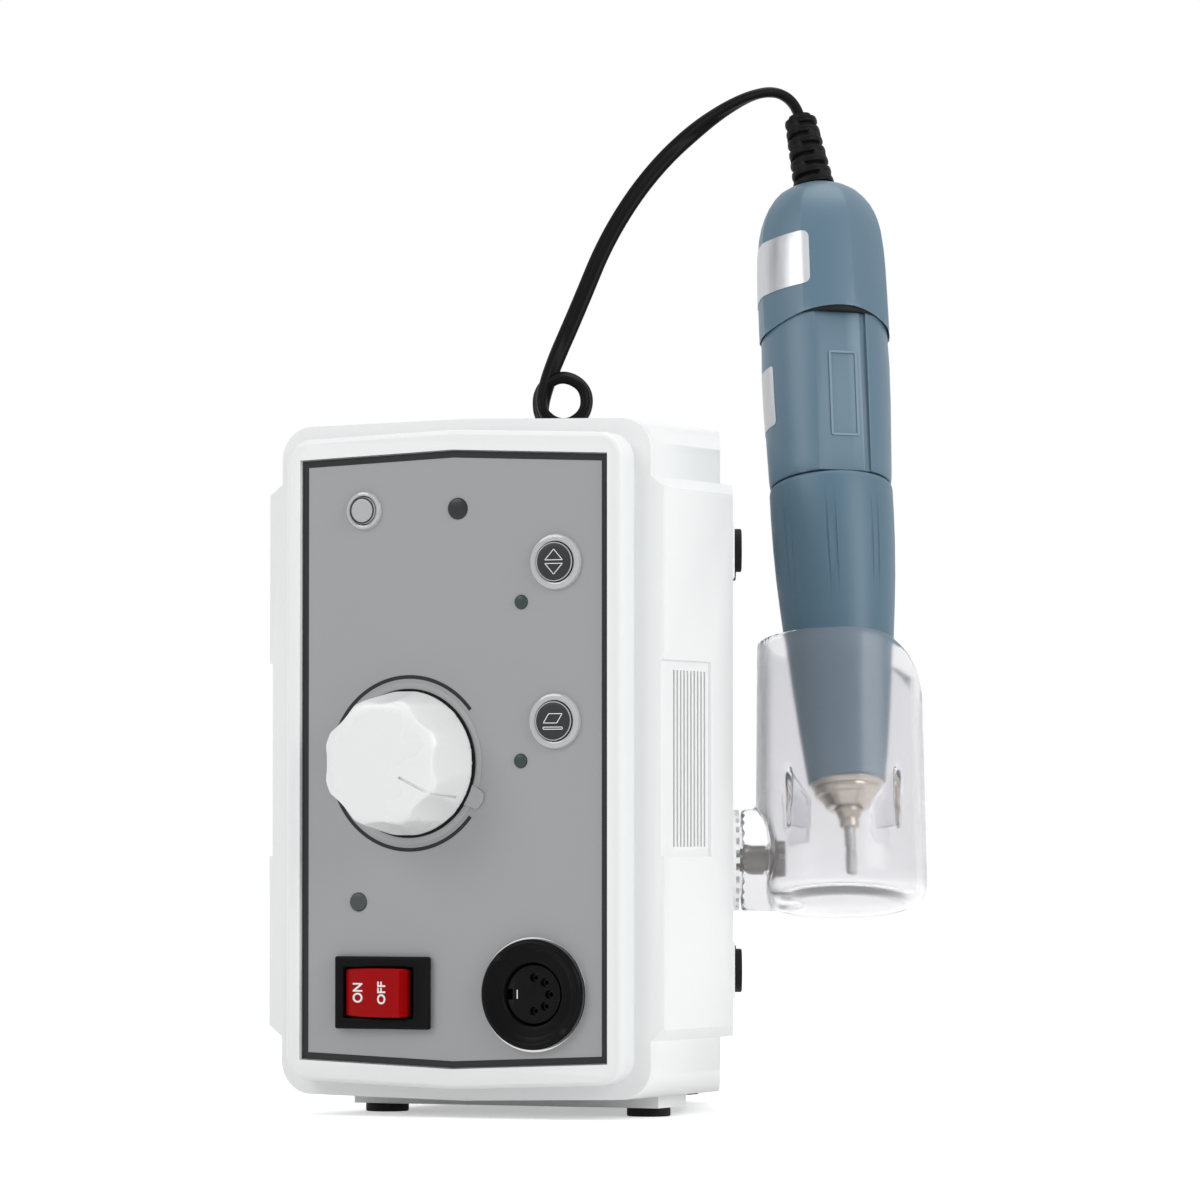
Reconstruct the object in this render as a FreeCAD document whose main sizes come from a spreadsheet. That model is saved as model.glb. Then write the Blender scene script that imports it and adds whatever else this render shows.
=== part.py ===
import FreeCAD, Part
import math
import os
import Sketcher
from FreeCAD import Placement, Rotation, Vector

doc = FreeCAD.newDocument("nail_drill_machine")
dims = doc.addObject("Spreadsheet::Sheet", "dims")


# Sizes: a number together with the formula over the sheet's cells that gives it
class Size:
    def __init__(self, value, text):
        self.value = float(value)
        self.text = text

    def __add__(self, other):
        return joined(self, "+", other)

    def __radd__(self, other):
        return joined(other, "+", self)

    def __sub__(self, other):
        return joined(self, "-", other)

    def __rsub__(self, other):
        return joined(other, "-", self)

    def __mul__(self, other):
        return joined(self, "*", other)

    def __rmul__(self, other):
        return joined(other, "*", self)

    def __truediv__(self, other):
        return joined(self, "/", other)

    def __neg__(self):
        return joined(0, "-", self)


def sized(number):
    return number if isinstance(number, Size) else Size(number, "(%r)" % float(number))


def joined(left, sign, right):
    left = sized(left)
    right = sized(right)
    text = "(%s %s %s)" % (left.text, sign, right.text)
    if sign == "+":
        return Size(left.value + right.value, text)
    if sign == "-":
        return Size(left.value - right.value, text)
    if sign == "*":
        return Size(left.value * right.value, text)
    return Size(left.value / right.value, text)


def sine(angle):
    return Size(math.sin(math.radians(angle.value)), "sin(%s * 1deg)" % angle.text)


def cosine(angle):
    return Size(math.cos(math.radians(angle.value)), "cos(%s * 1deg)" % angle.text)


cells = []


def cell(name, value):
    cells.append(name)
    dims.set("A%d" % len(cells), name)
    dims.set("B%d" % len(cells), str(value))
    dims.setAlias("B%d" % len(cells), name)
    return Size(value, "dims." + name)


# Driving sizes of the box, in millimetres and degrees
panel_front = cell("panel_front", -60)
box_wide = cell("box_wide", 86.5)
box_high = cell("box_high", 142.1)
box_deep = cell("box_deep", 104)
box_peak = cell("box_peak", 0.9)
box_corner = cell("box_corner", 7)
wall = cell("wall", 2.4)
foot_high = cell("foot_high", 1.9)
foot_round = cell("foot_round", 4.65)
base_step = cell("base_step", 2.7)
base_inset = cell("base_inset", 7.3)
base_front = cell("base_front", 25)
base_short = cell("base_short", 6)
base_back = box_deep - base_short
bulge = cell("bulge", 3)
bulge_margin = cell("bulge_margin", 12.05)
bulge_high = box_high - bulge_margin * 2
bulge_slope = cell("bulge_slope", 2.4)
waist_high = cell("waist_high", 41.2)
waist_step = cell("waist_step", 0.7)
waist_back = cell("waist_back", 29.3)
ridge_back = cell("ridge_back", 41)
slant = cell("slant", 25)
fit_gap = cell("fit_gap", 0.2)
touch_gap = cell("touch_gap", 0.3)
run_gap = cell("run_gap", 0.05)

# The front frame and its panel
flange_front = cell("flange_front", 5)
flange_thick = cell("flange_thick", 2.4)
bezel_side = cell("bezel_side", 3.85)
bezel_wide = box_wide - bezel_side * 2
bezel_end = cell("bezel_end", 3.15)
bezel_high = box_high - bezel_end * 2
bezel_peak = cell("bezel_peak", 1.5)
bezel_corner = cell("bezel_corner", 5.5)
bezel_proud = cell("bezel_proud", 1)
bezel_round = cell("bezel_round", 1.2)
bezel_wall = cell("bezel_wall", 2.2)
panel_side = cell("panel_side", 3.55)
panel_wide = bezel_wide - panel_side * 2
panel_end = cell("panel_end", 4.35)
panel_high = bezel_high - panel_end * 2
panel_thick = cell("panel_thick", 0.8)
plate_thick = cell("plate_thick", 2.2)
skirt_long = cell("skirt_long", 3.6)
skirt_thick = cell("skirt_thick", 1.2)

# What the panel carries: places are across and up from the panel's middle,
# and a margin is what is left to the panel's edge
knob_across = cell("knob_across", -10.5)
knob_up = cell("knob_up", -0.9)
knob_base = cell("knob_base", 15.3)
knob_face = cell("knob_face", 13.5)
knob_high = cell("knob_high", 13.8)
knob_lift = cell("knob_lift", 0.6)
knob_wall = cell("knob_wall", 2.4)
knob_hub = cell("knob_hub", 5.5)
knob_round = cell("knob_round", 1.2)
flute_count = cell("flute_count", 8)
flute_round = cell("flute_round", 9)
flute_deep = cell("flute_deep", 1.1)
pointer_turn = cell("pointer_turn", 21.6)
pointer_wide = cell("pointer_wide", 0.7)
pointer_deep = cell("pointer_deep", 0.8)
shaft_round = cell("shaft_round", 3)
bushing_round = cell("bushing_round", 3.5)
pot_round = cell("pot_round", 8)
pot_deep = cell("pot_deep", 10)
nut_round = cell("nut_round", 5.8)
nut_thick = cell("nut_thick", 2)
direction_margin = cell("direction_margin", 12.05)
direction_across = panel_wide / 2 - direction_margin
direction_drop = cell("direction_drop", 22.45)
direction_up = panel_high / 2 - direction_drop
mode_margin = cell("mode_margin", 12.25)
mode_across = panel_wide / 2 - mode_margin
mode_up = cell("mode_up", 7.8)
button_round = cell("button_round", 4.14)
reset_margin = cell("reset_margin", 14.75)
reset_across = reset_margin - panel_wide / 2
reset_drop = cell("reset_drop", 10.85)
reset_up = panel_high / 2 - reset_drop
reset_round = cell("reset_round", 2.9)
button_proud = cell("button_proud", 1.3)
button_lip = cell("button_lip", 0.8)
collar_wall = cell("collar_wall", 0.7)
reset_collar = cell("reset_collar", 4.1)
button_collar = cell("button_collar", 5.9)
collar_proud = cell("collar_proud", 0.9)
stem_round = cell("stem_round", 1.6)
tact_wide = cell("tact_wide", 6)
tact_high = cell("tact_high", 4)
overload_across = cell("overload_across", 0.9)
overload_up = reset_up
overload_round = cell("overload_round", 2.27)
power_margin = cell("power_margin", 13.45)
power_across = power_margin - panel_wide / 2
power_lift = cell("power_lift", 19.1)
power_round = cell("power_round", 1.98)
turning_lamp_in = cell("turning_lamp_in", 8.1)
turning_lamp_across = direction_across - turning_lamp_in
lamp_drop = cell("lamp_drop", 8.3)
turning_lamp_up = direction_up - lamp_drop
mode_lamp_in = cell("mode_lamp_in", 8)
mode_lamp_across = mode_across - mode_lamp_in
mode_lamp_up = mode_up - lamp_drop
lamp_round = cell("lamp_round", 1.5)
lamp_proud = cell("lamp_proud", 0.4)
board_back = cell("board_back", 13)
board_thick = cell("board_thick", 1.6)
board_side = cell("board_side", 2.85)
board_wide = panel_wide - board_side * 2
board_rise = cell("board_rise", 27.55)
board_low = board_rise - panel_high / 2
board_drop = cell("board_drop", 6.55)
board_top = panel_high / 2 - board_drop
post_round = cell("post_round", 2.6)
post_margin = cell("post_margin", 3)
post_across = board_wide / 2 - post_margin
post_drop = cell("post_drop", 7)
post_up = cell("post_up", 26)
screw_round = cell("screw_round", 1.5)
screw_head = cell("screw_head", 2.75)
screw_head_high = cell("screw_head_high", 2)

# The rocker switch and the handpiece socket
switch_margin = cell("switch_margin", 18.85)
switch_across = switch_margin - panel_wide / 2
switch_rise = cell("switch_rise", 14.25)
switch_up = switch_rise - panel_high / 2
power_up = switch_up + power_lift
switch_wide = cell("switch_wide", 22)
switch_high = cell("switch_high", 15.3)
switch_proud = cell("switch_proud", 1.8)
switch_inset = cell("switch_inset", 1.3)
switch_deep = cell("switch_deep", 16)
rocker_reach = cell("rocker_reach", 7.7)
rocker_high = cell("rocker_high", 10.3)
rocker_tilt = cell("rocker_tilt", 12)
pivot_back = cell("pivot_back", 2.2)
pivot_round = cell("pivot_round", 1.2)
pivot_long = cell("pivot_long", 1.1)
socket_margin = cell("socket_margin", 17.05)
socket_across = panel_wide / 2 - socket_margin
socket_up = switch_up
socket_ring = cell("socket_ring", 11.6)
socket_proud = cell("socket_proud", 2.2)
socket_barrel = cell("socket_barrel", 9.4)
socket_deep = cell("socket_deep", 13)
socket_well = cell("socket_well", 6.65)
insert_round = cell("insert_round", 6.1)
insert_sink = cell("insert_sink", 0.9)
insert_floor = cell("insert_floor", 2)
pin_circle = cell("pin_circle", 3.5)
pin_count = cell("pin_count", 5)
pin_step = cell("pin_step", 45)
pin_hole = cell("pin_hole", 0.9)
contact_round = cell("contact_round", 0.8)
contact_sink = cell("contact_sink", 1.2)
contact_tail = cell("contact_tail", 3)
notch_wide = cell("notch_wide", 2.3)
notch_deep = cell("notch_deep", 2.6)

# What the box holds
core_wide = cell("core_wide", 48)
core_thick = cell("core_thick", 26)
core_high = cell("core_high", 57)
core_margin = cell("core_margin", 12.25)
core_left = core_margin - box_wide / 2
core_front = cell("core_front", 38)
core_leg = cell("core_leg", 8)
strap_thick = cell("strap_thick", 1)
strap_tab = cell("strap_tab", 8)
strap_wide = cell("strap_wide", 14)
winding_gap = cell("winding_gap", 0.3)
winding_out = cell("winding_out", 8)
floor_boss = cell("floor_boss", 3)
power_board_back = cell("power_board_back", 84)
power_board_margin = cell("power_board_margin", 6.25)
power_board_left = power_board_margin - box_wide / 2
power_board_wide = cell("power_board_wide", 47)
power_board_right = power_board_left + power_board_wide
power_board_high = cell("power_board_high", 56)
power_board_drop = cell("power_board_drop", 14.7)
power_board_top = foot_high + base_step + box_high - power_board_drop
power_board_low = power_board_top - power_board_high
board_post_in = cell("board_post_in", 4)
can_round = cell("can_round", 8)
can_long = cell("can_long", 25)
sink_wide = cell("sink_wide", 20)
sink_high = cell("sink_high", 28)
sink_deep = cell("sink_deep", 16)
fin_count = cell("fin_count", 6)
fin_thick = cell("fin_thick", 1.2)

# The back plate and its connectors
back_sink = cell("back_sink", 2.5)
back_thick = cell("back_thick", 2)
lug_thick = cell("lug_thick", 3)
lug_wide = cell("lug_wide", 9)
inlet_margin = cell("inlet_margin", 27.25)
inlet_across = inlet_margin - box_wide / 2
inlet_up = cell("inlet_up", 26)
inlet_wide = cell("inlet_wide", 27)
inlet_high = cell("inlet_high", 20)
inlet_deep = cell("inlet_deep", 18)
inlet_flange = cell("inlet_flange", 2.2)
fuse_margin = cell("fuse_margin", 15.25)
fuse_across = fuse_margin - box_wide / 2
fuse_rise = cell("fuse_rise", 29)
fuse_up = inlet_up + fuse_rise
fuse_round = cell("fuse_round", 6)
fuse_long = cell("fuse_long", 26)
jack_margin = cell("jack_margin", 37.25)
jack_across = jack_margin - box_wide / 2
jack_up = fuse_up
jack_round = cell("jack_round", 6)
jack_bore = cell("jack_bore", 3.2)
jack_long = cell("jack_long", 24)

# The tilting holder: it stands out square to the slanted side
holder_along = cell("holder_along", 24)
holder_up = cell("holder_up", -21.5)
holder_reach = cell("holder_reach", 24)
holder_tilt = cell("holder_tilt", 11.5)
rosette_round = cell("rosette_round", 10.9)
rosette_hole = cell("rosette_hole", 7)
rosette_thick = cell("rosette_thick", 1)
tooth_high = cell("tooth_high", 0.8)
tooth_count = cell("tooth_count", 24)
tooth_gap = cell("tooth_gap", 0.25)
stub_round = cell("stub_round", 11.1)
cup_mouth = cell("cup_mouth", 17.9)
cup_base = cell("cup_base", 18.6)
cup_wall = cell("cup_wall", 2)
cup_up = cell("cup_up", 48)
cup_down = cell("cup_down", 10.3)
cup_floor = cell("cup_floor", 2.4)
cup_round = cell("cup_round", 5)
mouth_round = cell("mouth_round", 13)
seat_round = cell("seat_round", 6)
seat_in = cell("seat_in", 1.2)
seat_out = holder_reach - cup_base + cup_wall + seat_in
rib_thick = cell("rib_thick", 1.2)
rib_inner = cell("rib_inner", 9.6)
rib_low = cell("rib_low", 5)
rib_knee = cell("rib_knee", 12.3)
rib_top = cell("rib_top", 19)
shoulder_round = cell("shoulder_round", 2.5)
clamp_thread = cell("clamp_thread", 1.5)
clamp_head = cell("clamp_head", 4.1)
clamp_head_high = cell("clamp_head_high", 2.6)
washer_round = cell("washer_round", 4.7)
washer_thick = cell("washer_thick", 0.8)
insert_bush = cell("insert_bush", 3.5)
insert_deep = cell("insert_deep", 8)
foot_first = cell("foot_first", 8)
foot_end = cell("foot_end", 13.51)
foot_second = (box_deep - ridge_back) / cosine(slant) - foot_end
foot_row_end = cell("foot_row_end", 26.05)
foot_row = box_high / 2 - foot_row_end
side_foot_high = cell("side_foot_high", 1.6)
pad_high = cell("pad_high", 0.4)
pad_wide = cell("pad_wide", 12)

# The handpiece, measured up its own axis from the end of the collet nut
hand_back_lean = cell("hand_back_lean", 15.5)
hand_side_lean = cell("hand_side_lean", 2.4)
hand_rest_up = cell("hand_rest_up", 7.3)
hand_rest_back = cell("hand_rest_back", 0.9)
hand_rest_out = cell("hand_rest_out", 1.95)
bur_round = cell("bur_round", 1.175)
bur_out = cell("bur_out", 11.5)
bur_in = cell("bur_in", 14)
nut_end_round = cell("nut_end_round", 2.1)
collet_round = cell("collet_round", 2.8)
collet_long = cell("collet_long", 4.6)
nose_start = cell("nose_start", 4.3)
nose_round = cell("nose_round", 7)
nose_rim = cell("nose_rim", 8.1)
nose_tube = cell("nose_tube", 7)
nose_bore = cell("nose_bore", 5.5)
grip_start = cell("grip_start", 9.9)
grip_low_round = cell("grip_low_round", 8.5)

grip_mid_round = cell("grip_mid_round", 12)
grip_top_round = cell("grip_top_round", 13.6)

grip_long = cell("grip_long", 67.7)
joint_up = grip_start + grip_long
grip_neck = cell("grip_neck", 34.6)
grip_mid_up = joint_up - grip_neck
grip_band = cell("grip_band", 6.6)
grip_shoulder = joint_up - grip_band
joint_gap = cell("joint_gap", 0.5)
body_low_round = cell("body_low_round", 13.4)
body_top_round = cell("body_top_round", 14.1)
body_wall = cell("body_wall", 2)
body_flat = cell("body_flat", 12.7)
body_long = cell("body_long", 38.9)
cap_up = joint_up + joint_gap + body_long
cap_round = cell("cap_round", 14.5)
cap_straight = cell("cap_straight", 18)
cap_mid_up = cap_up + cap_straight
cap_mid_round = cell("cap_mid_round", 13.4)
cap_bend = cell("cap_bend", 8)
cap_high_up = cap_mid_up + cap_bend
cap_dome = cell("cap_dome", 5)
hand_long = cap_high_up + cap_dome
cap_high_round = cell("cap_high_round", 10.8)
cap_top_round = cell("cap_top_round", 5.6)
cap_wall = cell("cap_wall", 1.8)
spigot_long = cell("spigot_long", 5)
spindle_round = cell("spindle_round", 2)
bearing_round = cell("bearing_round", 5.5)
bearing_thick = cell("bearing_thick", 4)
front_bearing_up = cell("front_bearing_up", 9)
middle_bearing_down = cell("middle_bearing_down", 11.6)
middle_bearing_up = joint_up - middle_bearing_down
rear_bearing_down = cell("rear_bearing_down", 7)
rear_bearing_up = cap_mid_up - rear_bearing_down
armature_step = cell("armature_step", 7.9)
armature_low = joint_up + joint_gap + armature_step
armature_short = cell("armature_short", 14.9)
armature_long = body_long - armature_short
armature_round = cell("armature_round", 7.4)
magnet_inner = cell("magnet_inner", 8)
magnet_thick = cell("magnet_thick", 3)
commutator_round = cell("commutator_round", 4)
commutator_long = cell("commutator_long", 7)
commutator_step = cell("commutator_step", 4)
commutator_up = armature_low + armature_long + commutator_step
brush_wide = cell("brush_wide", 3)
brush_long = cell("brush_long", 5)
relief_lean = cell("relief_lean", 8)
relief_long = cell("relief_long", 16)
relief_low = cell("relief_low", 4.4)
relief_top = cell("relief_top", 3.3)
relief_ribs = cell("relief_ribs", 6)
relief_groove = cell("relief_groove", 0.8)

# The cord, flat in the real thing and round here, and the plug at its end
cord_round = cell("cord_round", 1.6)
coil_mean = cell("coil_mean", 21)
coil_pitch = cell("coil_pitch", 4.2)
coil_turns = cell("coil_turns", 2.5)
coil_margin = cell("coil_margin", 9.25)
coil_across = coil_margin - box_wide / 2
coil_behind = cell("coil_behind", 34)
coil_back = panel_front + box_deep + coil_behind
tie_wide = cell("tie_wide", 5)
tie_thick = cell("tie_thick", 0.8)
plug_round = cell("plug_round", 6.4)
plug_grip = cell("plug_grip", 6.9)
plug_long = cell("plug_long", 36)
plug_nose = cell("plug_nose", 9)

# Places that follow from those sizes
half_wide = box_wide / 2
box_bottom = foot_high + base_step
box_top = box_bottom + box_high
panel_mid = box_bottom + box_high / 2
flange_y = panel_front + flange_front
shell_y = flange_y + flange_thick
back_y = panel_front + box_deep
ridge_y = panel_front + ridge_back
plate_y = panel_front + panel_thick
plate_back = plate_y + plate_thick
board_y = panel_front + board_back

part_list = []


# General helpers
def bound(thing, prop, size):
    thing.setExpression(prop, sized(size).text)
    return thing


def put(thing, across=0, back=0, up=0):
    bound(thing, "Placement.Base.x", across)
    bound(thing, "Placement.Base.y", back)
    bound(thing, "Placement.Base.z", up)
    return thing


def keep(thing, label):
    thing.Label = label
    part_list.append(thing)
    return thing


def box(x_low, x_high, y_low, y_high, z_low, z_high):
    made = doc.addObject("Part::Box", "block")
    bound(made, "Length", sized(x_high) - x_low)
    bound(made, "Width", sized(y_high) - y_low)
    bound(made, "Height", sized(z_high) - z_low)
    return put(made, x_low, y_low, z_low)


turn_to = {
    "X": Rotation(Vector(0, 1, 0), 90),
    "Y": Rotation(Vector(1, 0, 0), -90),
    "Z": Rotation(),
}


def rod(way, radius, start, end, across=0, up=0):
    made = doc.addObject("Part::Cylinder", "rod")
    bound(made, "Radius", radius)
    bound(made, "Height", sized(end) - start)
    made.Placement = Placement(Vector(), turn_to[way])
    if way == "Y":
        return put(made, across, start, up)
    if way == "X":
        return put(made, start, across, up)
    return put(made, across, up, start)


def hexagon(across_flats, start, end, across, up):
    made = doc.addObject("Part::Prism", "hexagon")
    made.Polygon = 6
    bound(made, "Circumradius", across_flats)
    bound(made, "Height", sized(end) - start)
    made.Placement = Placement(Vector(), turn_to["Y"])
    return put(made, across, start, up)


def fused(*things):
    made = doc.addObject("Part::MultiFuse", "joined")
    made.Shapes = list(things)
    return made


def group(*things):
    made = doc.addObject("Part::Compound", "group")
    made.Links = list(things)
    return made


def less(thing, *tools):
    made = doc.addObject("Part::Cut", "cut")
    made.Base = thing
    made.Tool = tools[0] if len(tools) == 1 else fused(*tools)
    return made


def shared(first, second):
    made = doc.addObject("Part::Common", "shared")
    made.Base = first
    made.Tool = second
    return made


def draw(sketch, corners):
    count = len(corners)
    for i, corner in enumerate(corners):
        a = Vector(sized(corner[0]).value, sized(corner[1]).value, 0)
        following = corners[(i + 1) % count]
        b = Vector(sized(following[0]).value, sized(following[1]).value, 0)
        if len(corner) == 2:
            sketch.addGeometry(Part.LineSegment(a, b), False)
        else:
            through = Vector(sized(corner[2]).value, sized(corner[3]).value, 0)
            sketch.addGeometry(Part.Arc(a, through, b), False)
    starts = []
    for i, corner in enumerate(corners):
        curve = sketch.Geometry[i]
        wanted = Vector(sized(corner[0]).value, sized(corner[1]).value, 0)
        swapped = curve.StartPoint.distanceToPoint(wanted) > 1e-6
        starts.append(2 if swapped else 1)
    for i in range(count):
        after = (i + 1) % count
        joint = Sketcher.Constraint("Coincident", i, 3 - starts[i], after, starts[after])
        sketch.addConstraint(joint)
    for i, corner in enumerate(corners):
        pin(sketch, i, starts[i], corner[0], corner[1])
    for i, corner in enumerate(corners):
        if len(corner) > 2:
            through = Vector(sized(corner[2]).value, sized(corner[3]).value, 0)
            mark = sketch.addGeometry(Part.Point(through), True)
            pin(sketch, mark, 1, corner[2], corner[3])
            sketch.addConstraint(Sketcher.Constraint("PointOnObject", mark, 1, i))
    return sketch


def pin(sketch, curve, end, across, up):
    for kind, size in (("DistanceX", sized(across)), ("DistanceY", sized(up))):
        made = Sketcher.Constraint(kind, -1, 1, curve, end, size.value)
        number = sketch.addConstraint(made)
        sketch.setExpression("Constraints[%d]" % number, size.text)


def draw_circle(sketch, across, up, radius):
    middle = Vector(sized(across).value, sized(up).value, 0)
    normal = Vector(0, 0, 1)
    curve = sketch.addGeometry(Part.Circle(middle, normal, sized(radius).value), False)
    number = sketch.addConstraint(Sketcher.Constraint("Radius", curve, sized(radius).value))
    sketch.setExpression("Constraints[%d]" % number, sized(radius).text)
    pin(sketch, curve, 3, across, up)


def new_body():
    return doc.addObject("PartDesign::Body", "body")


def origin(body, role):
    return [f for f in body.Origin.OriginFeatures if f.Role == role][0]


def sketch_in(body, role, offset=0):
    sketch = body.newObject("Sketcher::SketchObject", "outline")
    sketch.AttachmentSupport = [(origin(body, role), "")]
    sketch.MapMode = "FlatFace"
    size = -sized(offset) if role == "XZ_Plane" else sized(offset)
    bound(sketch, "AttachmentOffset.Base.z", size)
    return sketch


def pad(body, role, start, end, corners=None, circles=()):
    return stretch(body, "PartDesign::Pad", role, start, end, corners, circles)


def pocket(body, role, start, end, corners=None, circles=()):
    return stretch(body, "PartDesign::Pocket", role, start, end, corners, circles)


def stretch(body, kind, role, start, end, corners, circles):
    sketch = sketch_in(body, role, start)
    if corners:
        draw(sketch, corners)
    for circle in circles:
        draw_circle(sketch, *circle)
    made = body.newObject(kind, "stretch")
    made.Profile = sketch
    bound(made, "Length", sized(end) - start)
    made.Reversed = (role == "XZ_Plane") == (kind == "PartDesign::Pad")
    return made


def turned(body, corners, kind="PartDesign::Revolution", role="XZ_Plane"):
    sketch = draw(sketch_in(body, role), corners)
    made = body.newObject(kind, "turned")
    made.Profile = sketch
    made.ReferenceAxis = (sketch, ["V_Axis"])
    made.Angle = 360
    return made


def turned_part(corners, label, place):
    body = new_body()
    turned(body, corners)
    body.Placement = place
    return keep(body, label)


def rounded(body, radius, wanted):
    doc.recompute()
    tip = body.Tip
    names = []
    for i, edge in enumerate(tip.Shape.Edges):
        if wanted(edge):
            names.append("Edge%d" % (i + 1))
    made = body.newObject("PartDesign::Fillet", "rounding")
    made.Base = (tip, names)
    bound(made, "Radius", radius)
    return made


def softened(thing, radius, wanted):
    doc.recompute()
    made = doc.addObject("Part::Fillet", "softened")
    made.Base = thing
    chosen = []
    for i, edge in enumerate(thing.Shape.Edges):
        if wanted(edge):
            chosen.append((i + 1, radius.value, radius.value))
    made.Edges = chosen
    return made


def runs_along(edge, way):
    if edge.Curve.TypeId != "Part::GeomLine":
        return False
    return abs(abs(edge.tangentAt(edge.FirstParameter).dot(way)) - 1) < 1e-6


def at_side(edge, side):
    return runs_along(edge, Vector(0, 1, 0)) and abs(abs(edge.CenterOfMass.x) - side) < 0.01


def extruded(corners, start, end, way):
    sketch = doc.addObject("Sketcher::SketchObject", "outline")
    draw(sketch, corners)
    made = doc.addObject("Part::Extrusion", "extruded")
    if way == "Y":
        sketch.Placement = Placement(Vector(), Rotation(Vector(1, 0, 0), 90))
        bound(sketch, "Placement.Base.y", start)
        made.Dir = Vector(0, 1, 0)
    else:
        bound(sketch, "Placement.Base.z", start)
        made.Dir = Vector(0, 0, 1)
    made.Base = sketch
    made.DirMode = "Custom"
    made.Solid = True
    bound(made, "LengthFwd", sized(end) - start)
    return made


# Outlines of the box, drawn in by an inset
def peaked(wide, high, peak, middle, inset=0):
    side = wide / 2 - inset
    low = middle - high / 2 + inset
    top = middle + high / 2 - inset
    return [
        (-side, low),
        (0, low - peak),
        (side, low),
        (side, top),
        (0, top + peak),
        (-side, top),
    ]


def bulged(inset=0):
    inner = half_wide - inset
    outer = half_wide + bulge - inset
    far = bulge_high / 2 - inset
    near = far - bulge_slope
    return [
        (-inner, panel_mid - far),
        (inner, panel_mid - far),
        (outer, panel_mid - near),
        (outer, panel_mid + near),
        (inner, panel_mid + far),
        (-inner, panel_mid + far),
        (-outer, panel_mid + near),
        (-outer, panel_mid - near),
    ]


def seen_from_above(side, inset, front, back):
    edge = side - inset / cosine(slant)
    lean = sine(slant) / cosine(slant)
    knee = ridge_y - inset * (1 - cosine(slant)) / sine(slant)
    return [
        (-(side - inset), front),
        (side - inset, front),
        (side - inset, knee),
        (edge - (back - ridge_y) * lean, back),
        (-(side - inset), back),
    ]


def hull(inset, front, back):
    tall = box_top + box_peak + 1
    core = extruded(peaked(box_wide, box_high, box_peak, panel_mid, inset), front, back, "Y")
    corner = Size(max(box_corner.value - sized(inset).value, 1), "0")
    side = half_wide.value - sized(inset).value
    core = softened(core, corner, lambda e: at_side(e, side))
    core_plan = extruded(seen_from_above(half_wide, sized(inset), front - 1, back + 1), 0, tall, "Z")
    swell = extruded(bulged(inset), front, back, "Y")
    swell_plan = extruded(seen_from_above(half_wide + bulge, sized(inset), front - 1, back + 1), 0, tall, "Z")
    return fused(shared(core, core_plan), shared(swell, swell_plan))


# Positions on the slanted side: along it from the ridge, up from the panel's middle
def on_slant(along, up, out=0):
    angle = math.radians(slant.value)
    ridge_x = (half_wide + bulge).value
    x = ridge_x - along * math.sin(angle) + out * math.cos(angle)
    y = ridge_y.value + along * math.cos(angle) + out * math.sin(angle)
    return Vector(x, y, panel_mid.value + up)


slant_turn = Rotation(Vector(0, 0, 1), slant.value)
tilt_turn = slant_turn.multiply(Rotation(Vector(1, 0, 0), -holder_tilt.value))
rosette_middle = on_slant(holder_along.value, holder_up.value)
holder_place = Placement(rosette_middle, tilt_turn)
clamp_place = Placement(rosette_middle, slant_turn)

# The handpiece leans in the cup: its axis and the end of its collet nut
back_way = slant_turn.multVec(Vector(0, 1, 0))
out_way = slant_turn.multVec(Vector(1, 0, 0))
back_slope = math.tan(math.radians(hand_back_lean.value))
side_slope = math.tan(math.radians(hand_side_lean.value))
hand_way = (Vector(0, 0, 1) + back_way * back_slope - out_way * side_slope).normalize()
rest = Vector(
    holder_reach.value + hand_rest_out.value, hand_rest_back.value, hand_rest_up.value
)
hand_foot = holder_place.multVec(rest)
hand_turn = Rotation(out_way, back_way, hand_way, "ZXY")
hand_place = Placement(hand_foot, hand_turn)


def on_panel(across, up, out=0):
    spot = Vector(across.value, panel_front.value - out, (panel_mid + up).value)
    return Placement(spot, Rotation(Vector(1, 0, 0), 90))


# Where the panel's pieces, posts and screws stand
screw_skin = cell("screw_skin", 0.8)
screw_long = cell("screw_long", 8)
boss_round = cell("boss_round", 3)
frame_screw_margin = cell("frame_screw_margin", 8.75)
frame_screw_across = half_wide - frame_screw_margin
frame_screw_end = cell("frame_screw_end", 8.05)
frame_screw_up = box_high / 2 - frame_screw_end
lug_inner = cell("lug_inner", 4)
rear_screw_margin = cell("rear_screw_margin", 9.25)
rear_screw_left = rear_screw_margin - half_wide
rear_screw_in = cell("rear_screw_in", 9.87)
back_right = half_wide + bulge - (box_deep - ridge_back) * sine(slant) / cosine(slant)
rear_screw_right = back_right - rear_screw_in
rear_screw_end = cell("rear_screw_end", 7.55)
rear_screw_up = box_high / 2 - rear_screw_end
vent_count = cell("vent_count", 10)
vent_start = cell("vent_start", 11.6)
vent_step = cell("vent_step", 1.76)
vent_wide = cell("vent_wide", 0.85)
vent_margin = cell("vent_margin", 2.1)
vent_high = waist_high - vent_margin * 2
foot_in = cell("foot_in", 4.95)
foot_across = half_wide - base_inset - foot_in
foot_step = cell("foot_step", 6)
foot_front = base_front + foot_step
foot_short = cell("foot_short", 9)
foot_back = base_back - foot_short
foot_rear_in = cell("foot_rear_in", 8.87)
foot_rear_right = back_right - foot_rear_in
boss_over = cell("boss_over", 1)
frame_boss_y = shell_y + skirt_long + boss_over
lug_y = frame_boss_y + lug_thick
rear_face = back_y - back_sink
rear_plate_y = rear_face - back_thick
slip_round = screw_round + run_gap
core_low = box_bottom + wall + floor_boss
post_places = [
    (post_across, board_top - post_drop),
    (-post_across, post_up),
    (post_across, -post_up),
    (-post_across, -post_up / 2),
]
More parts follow.
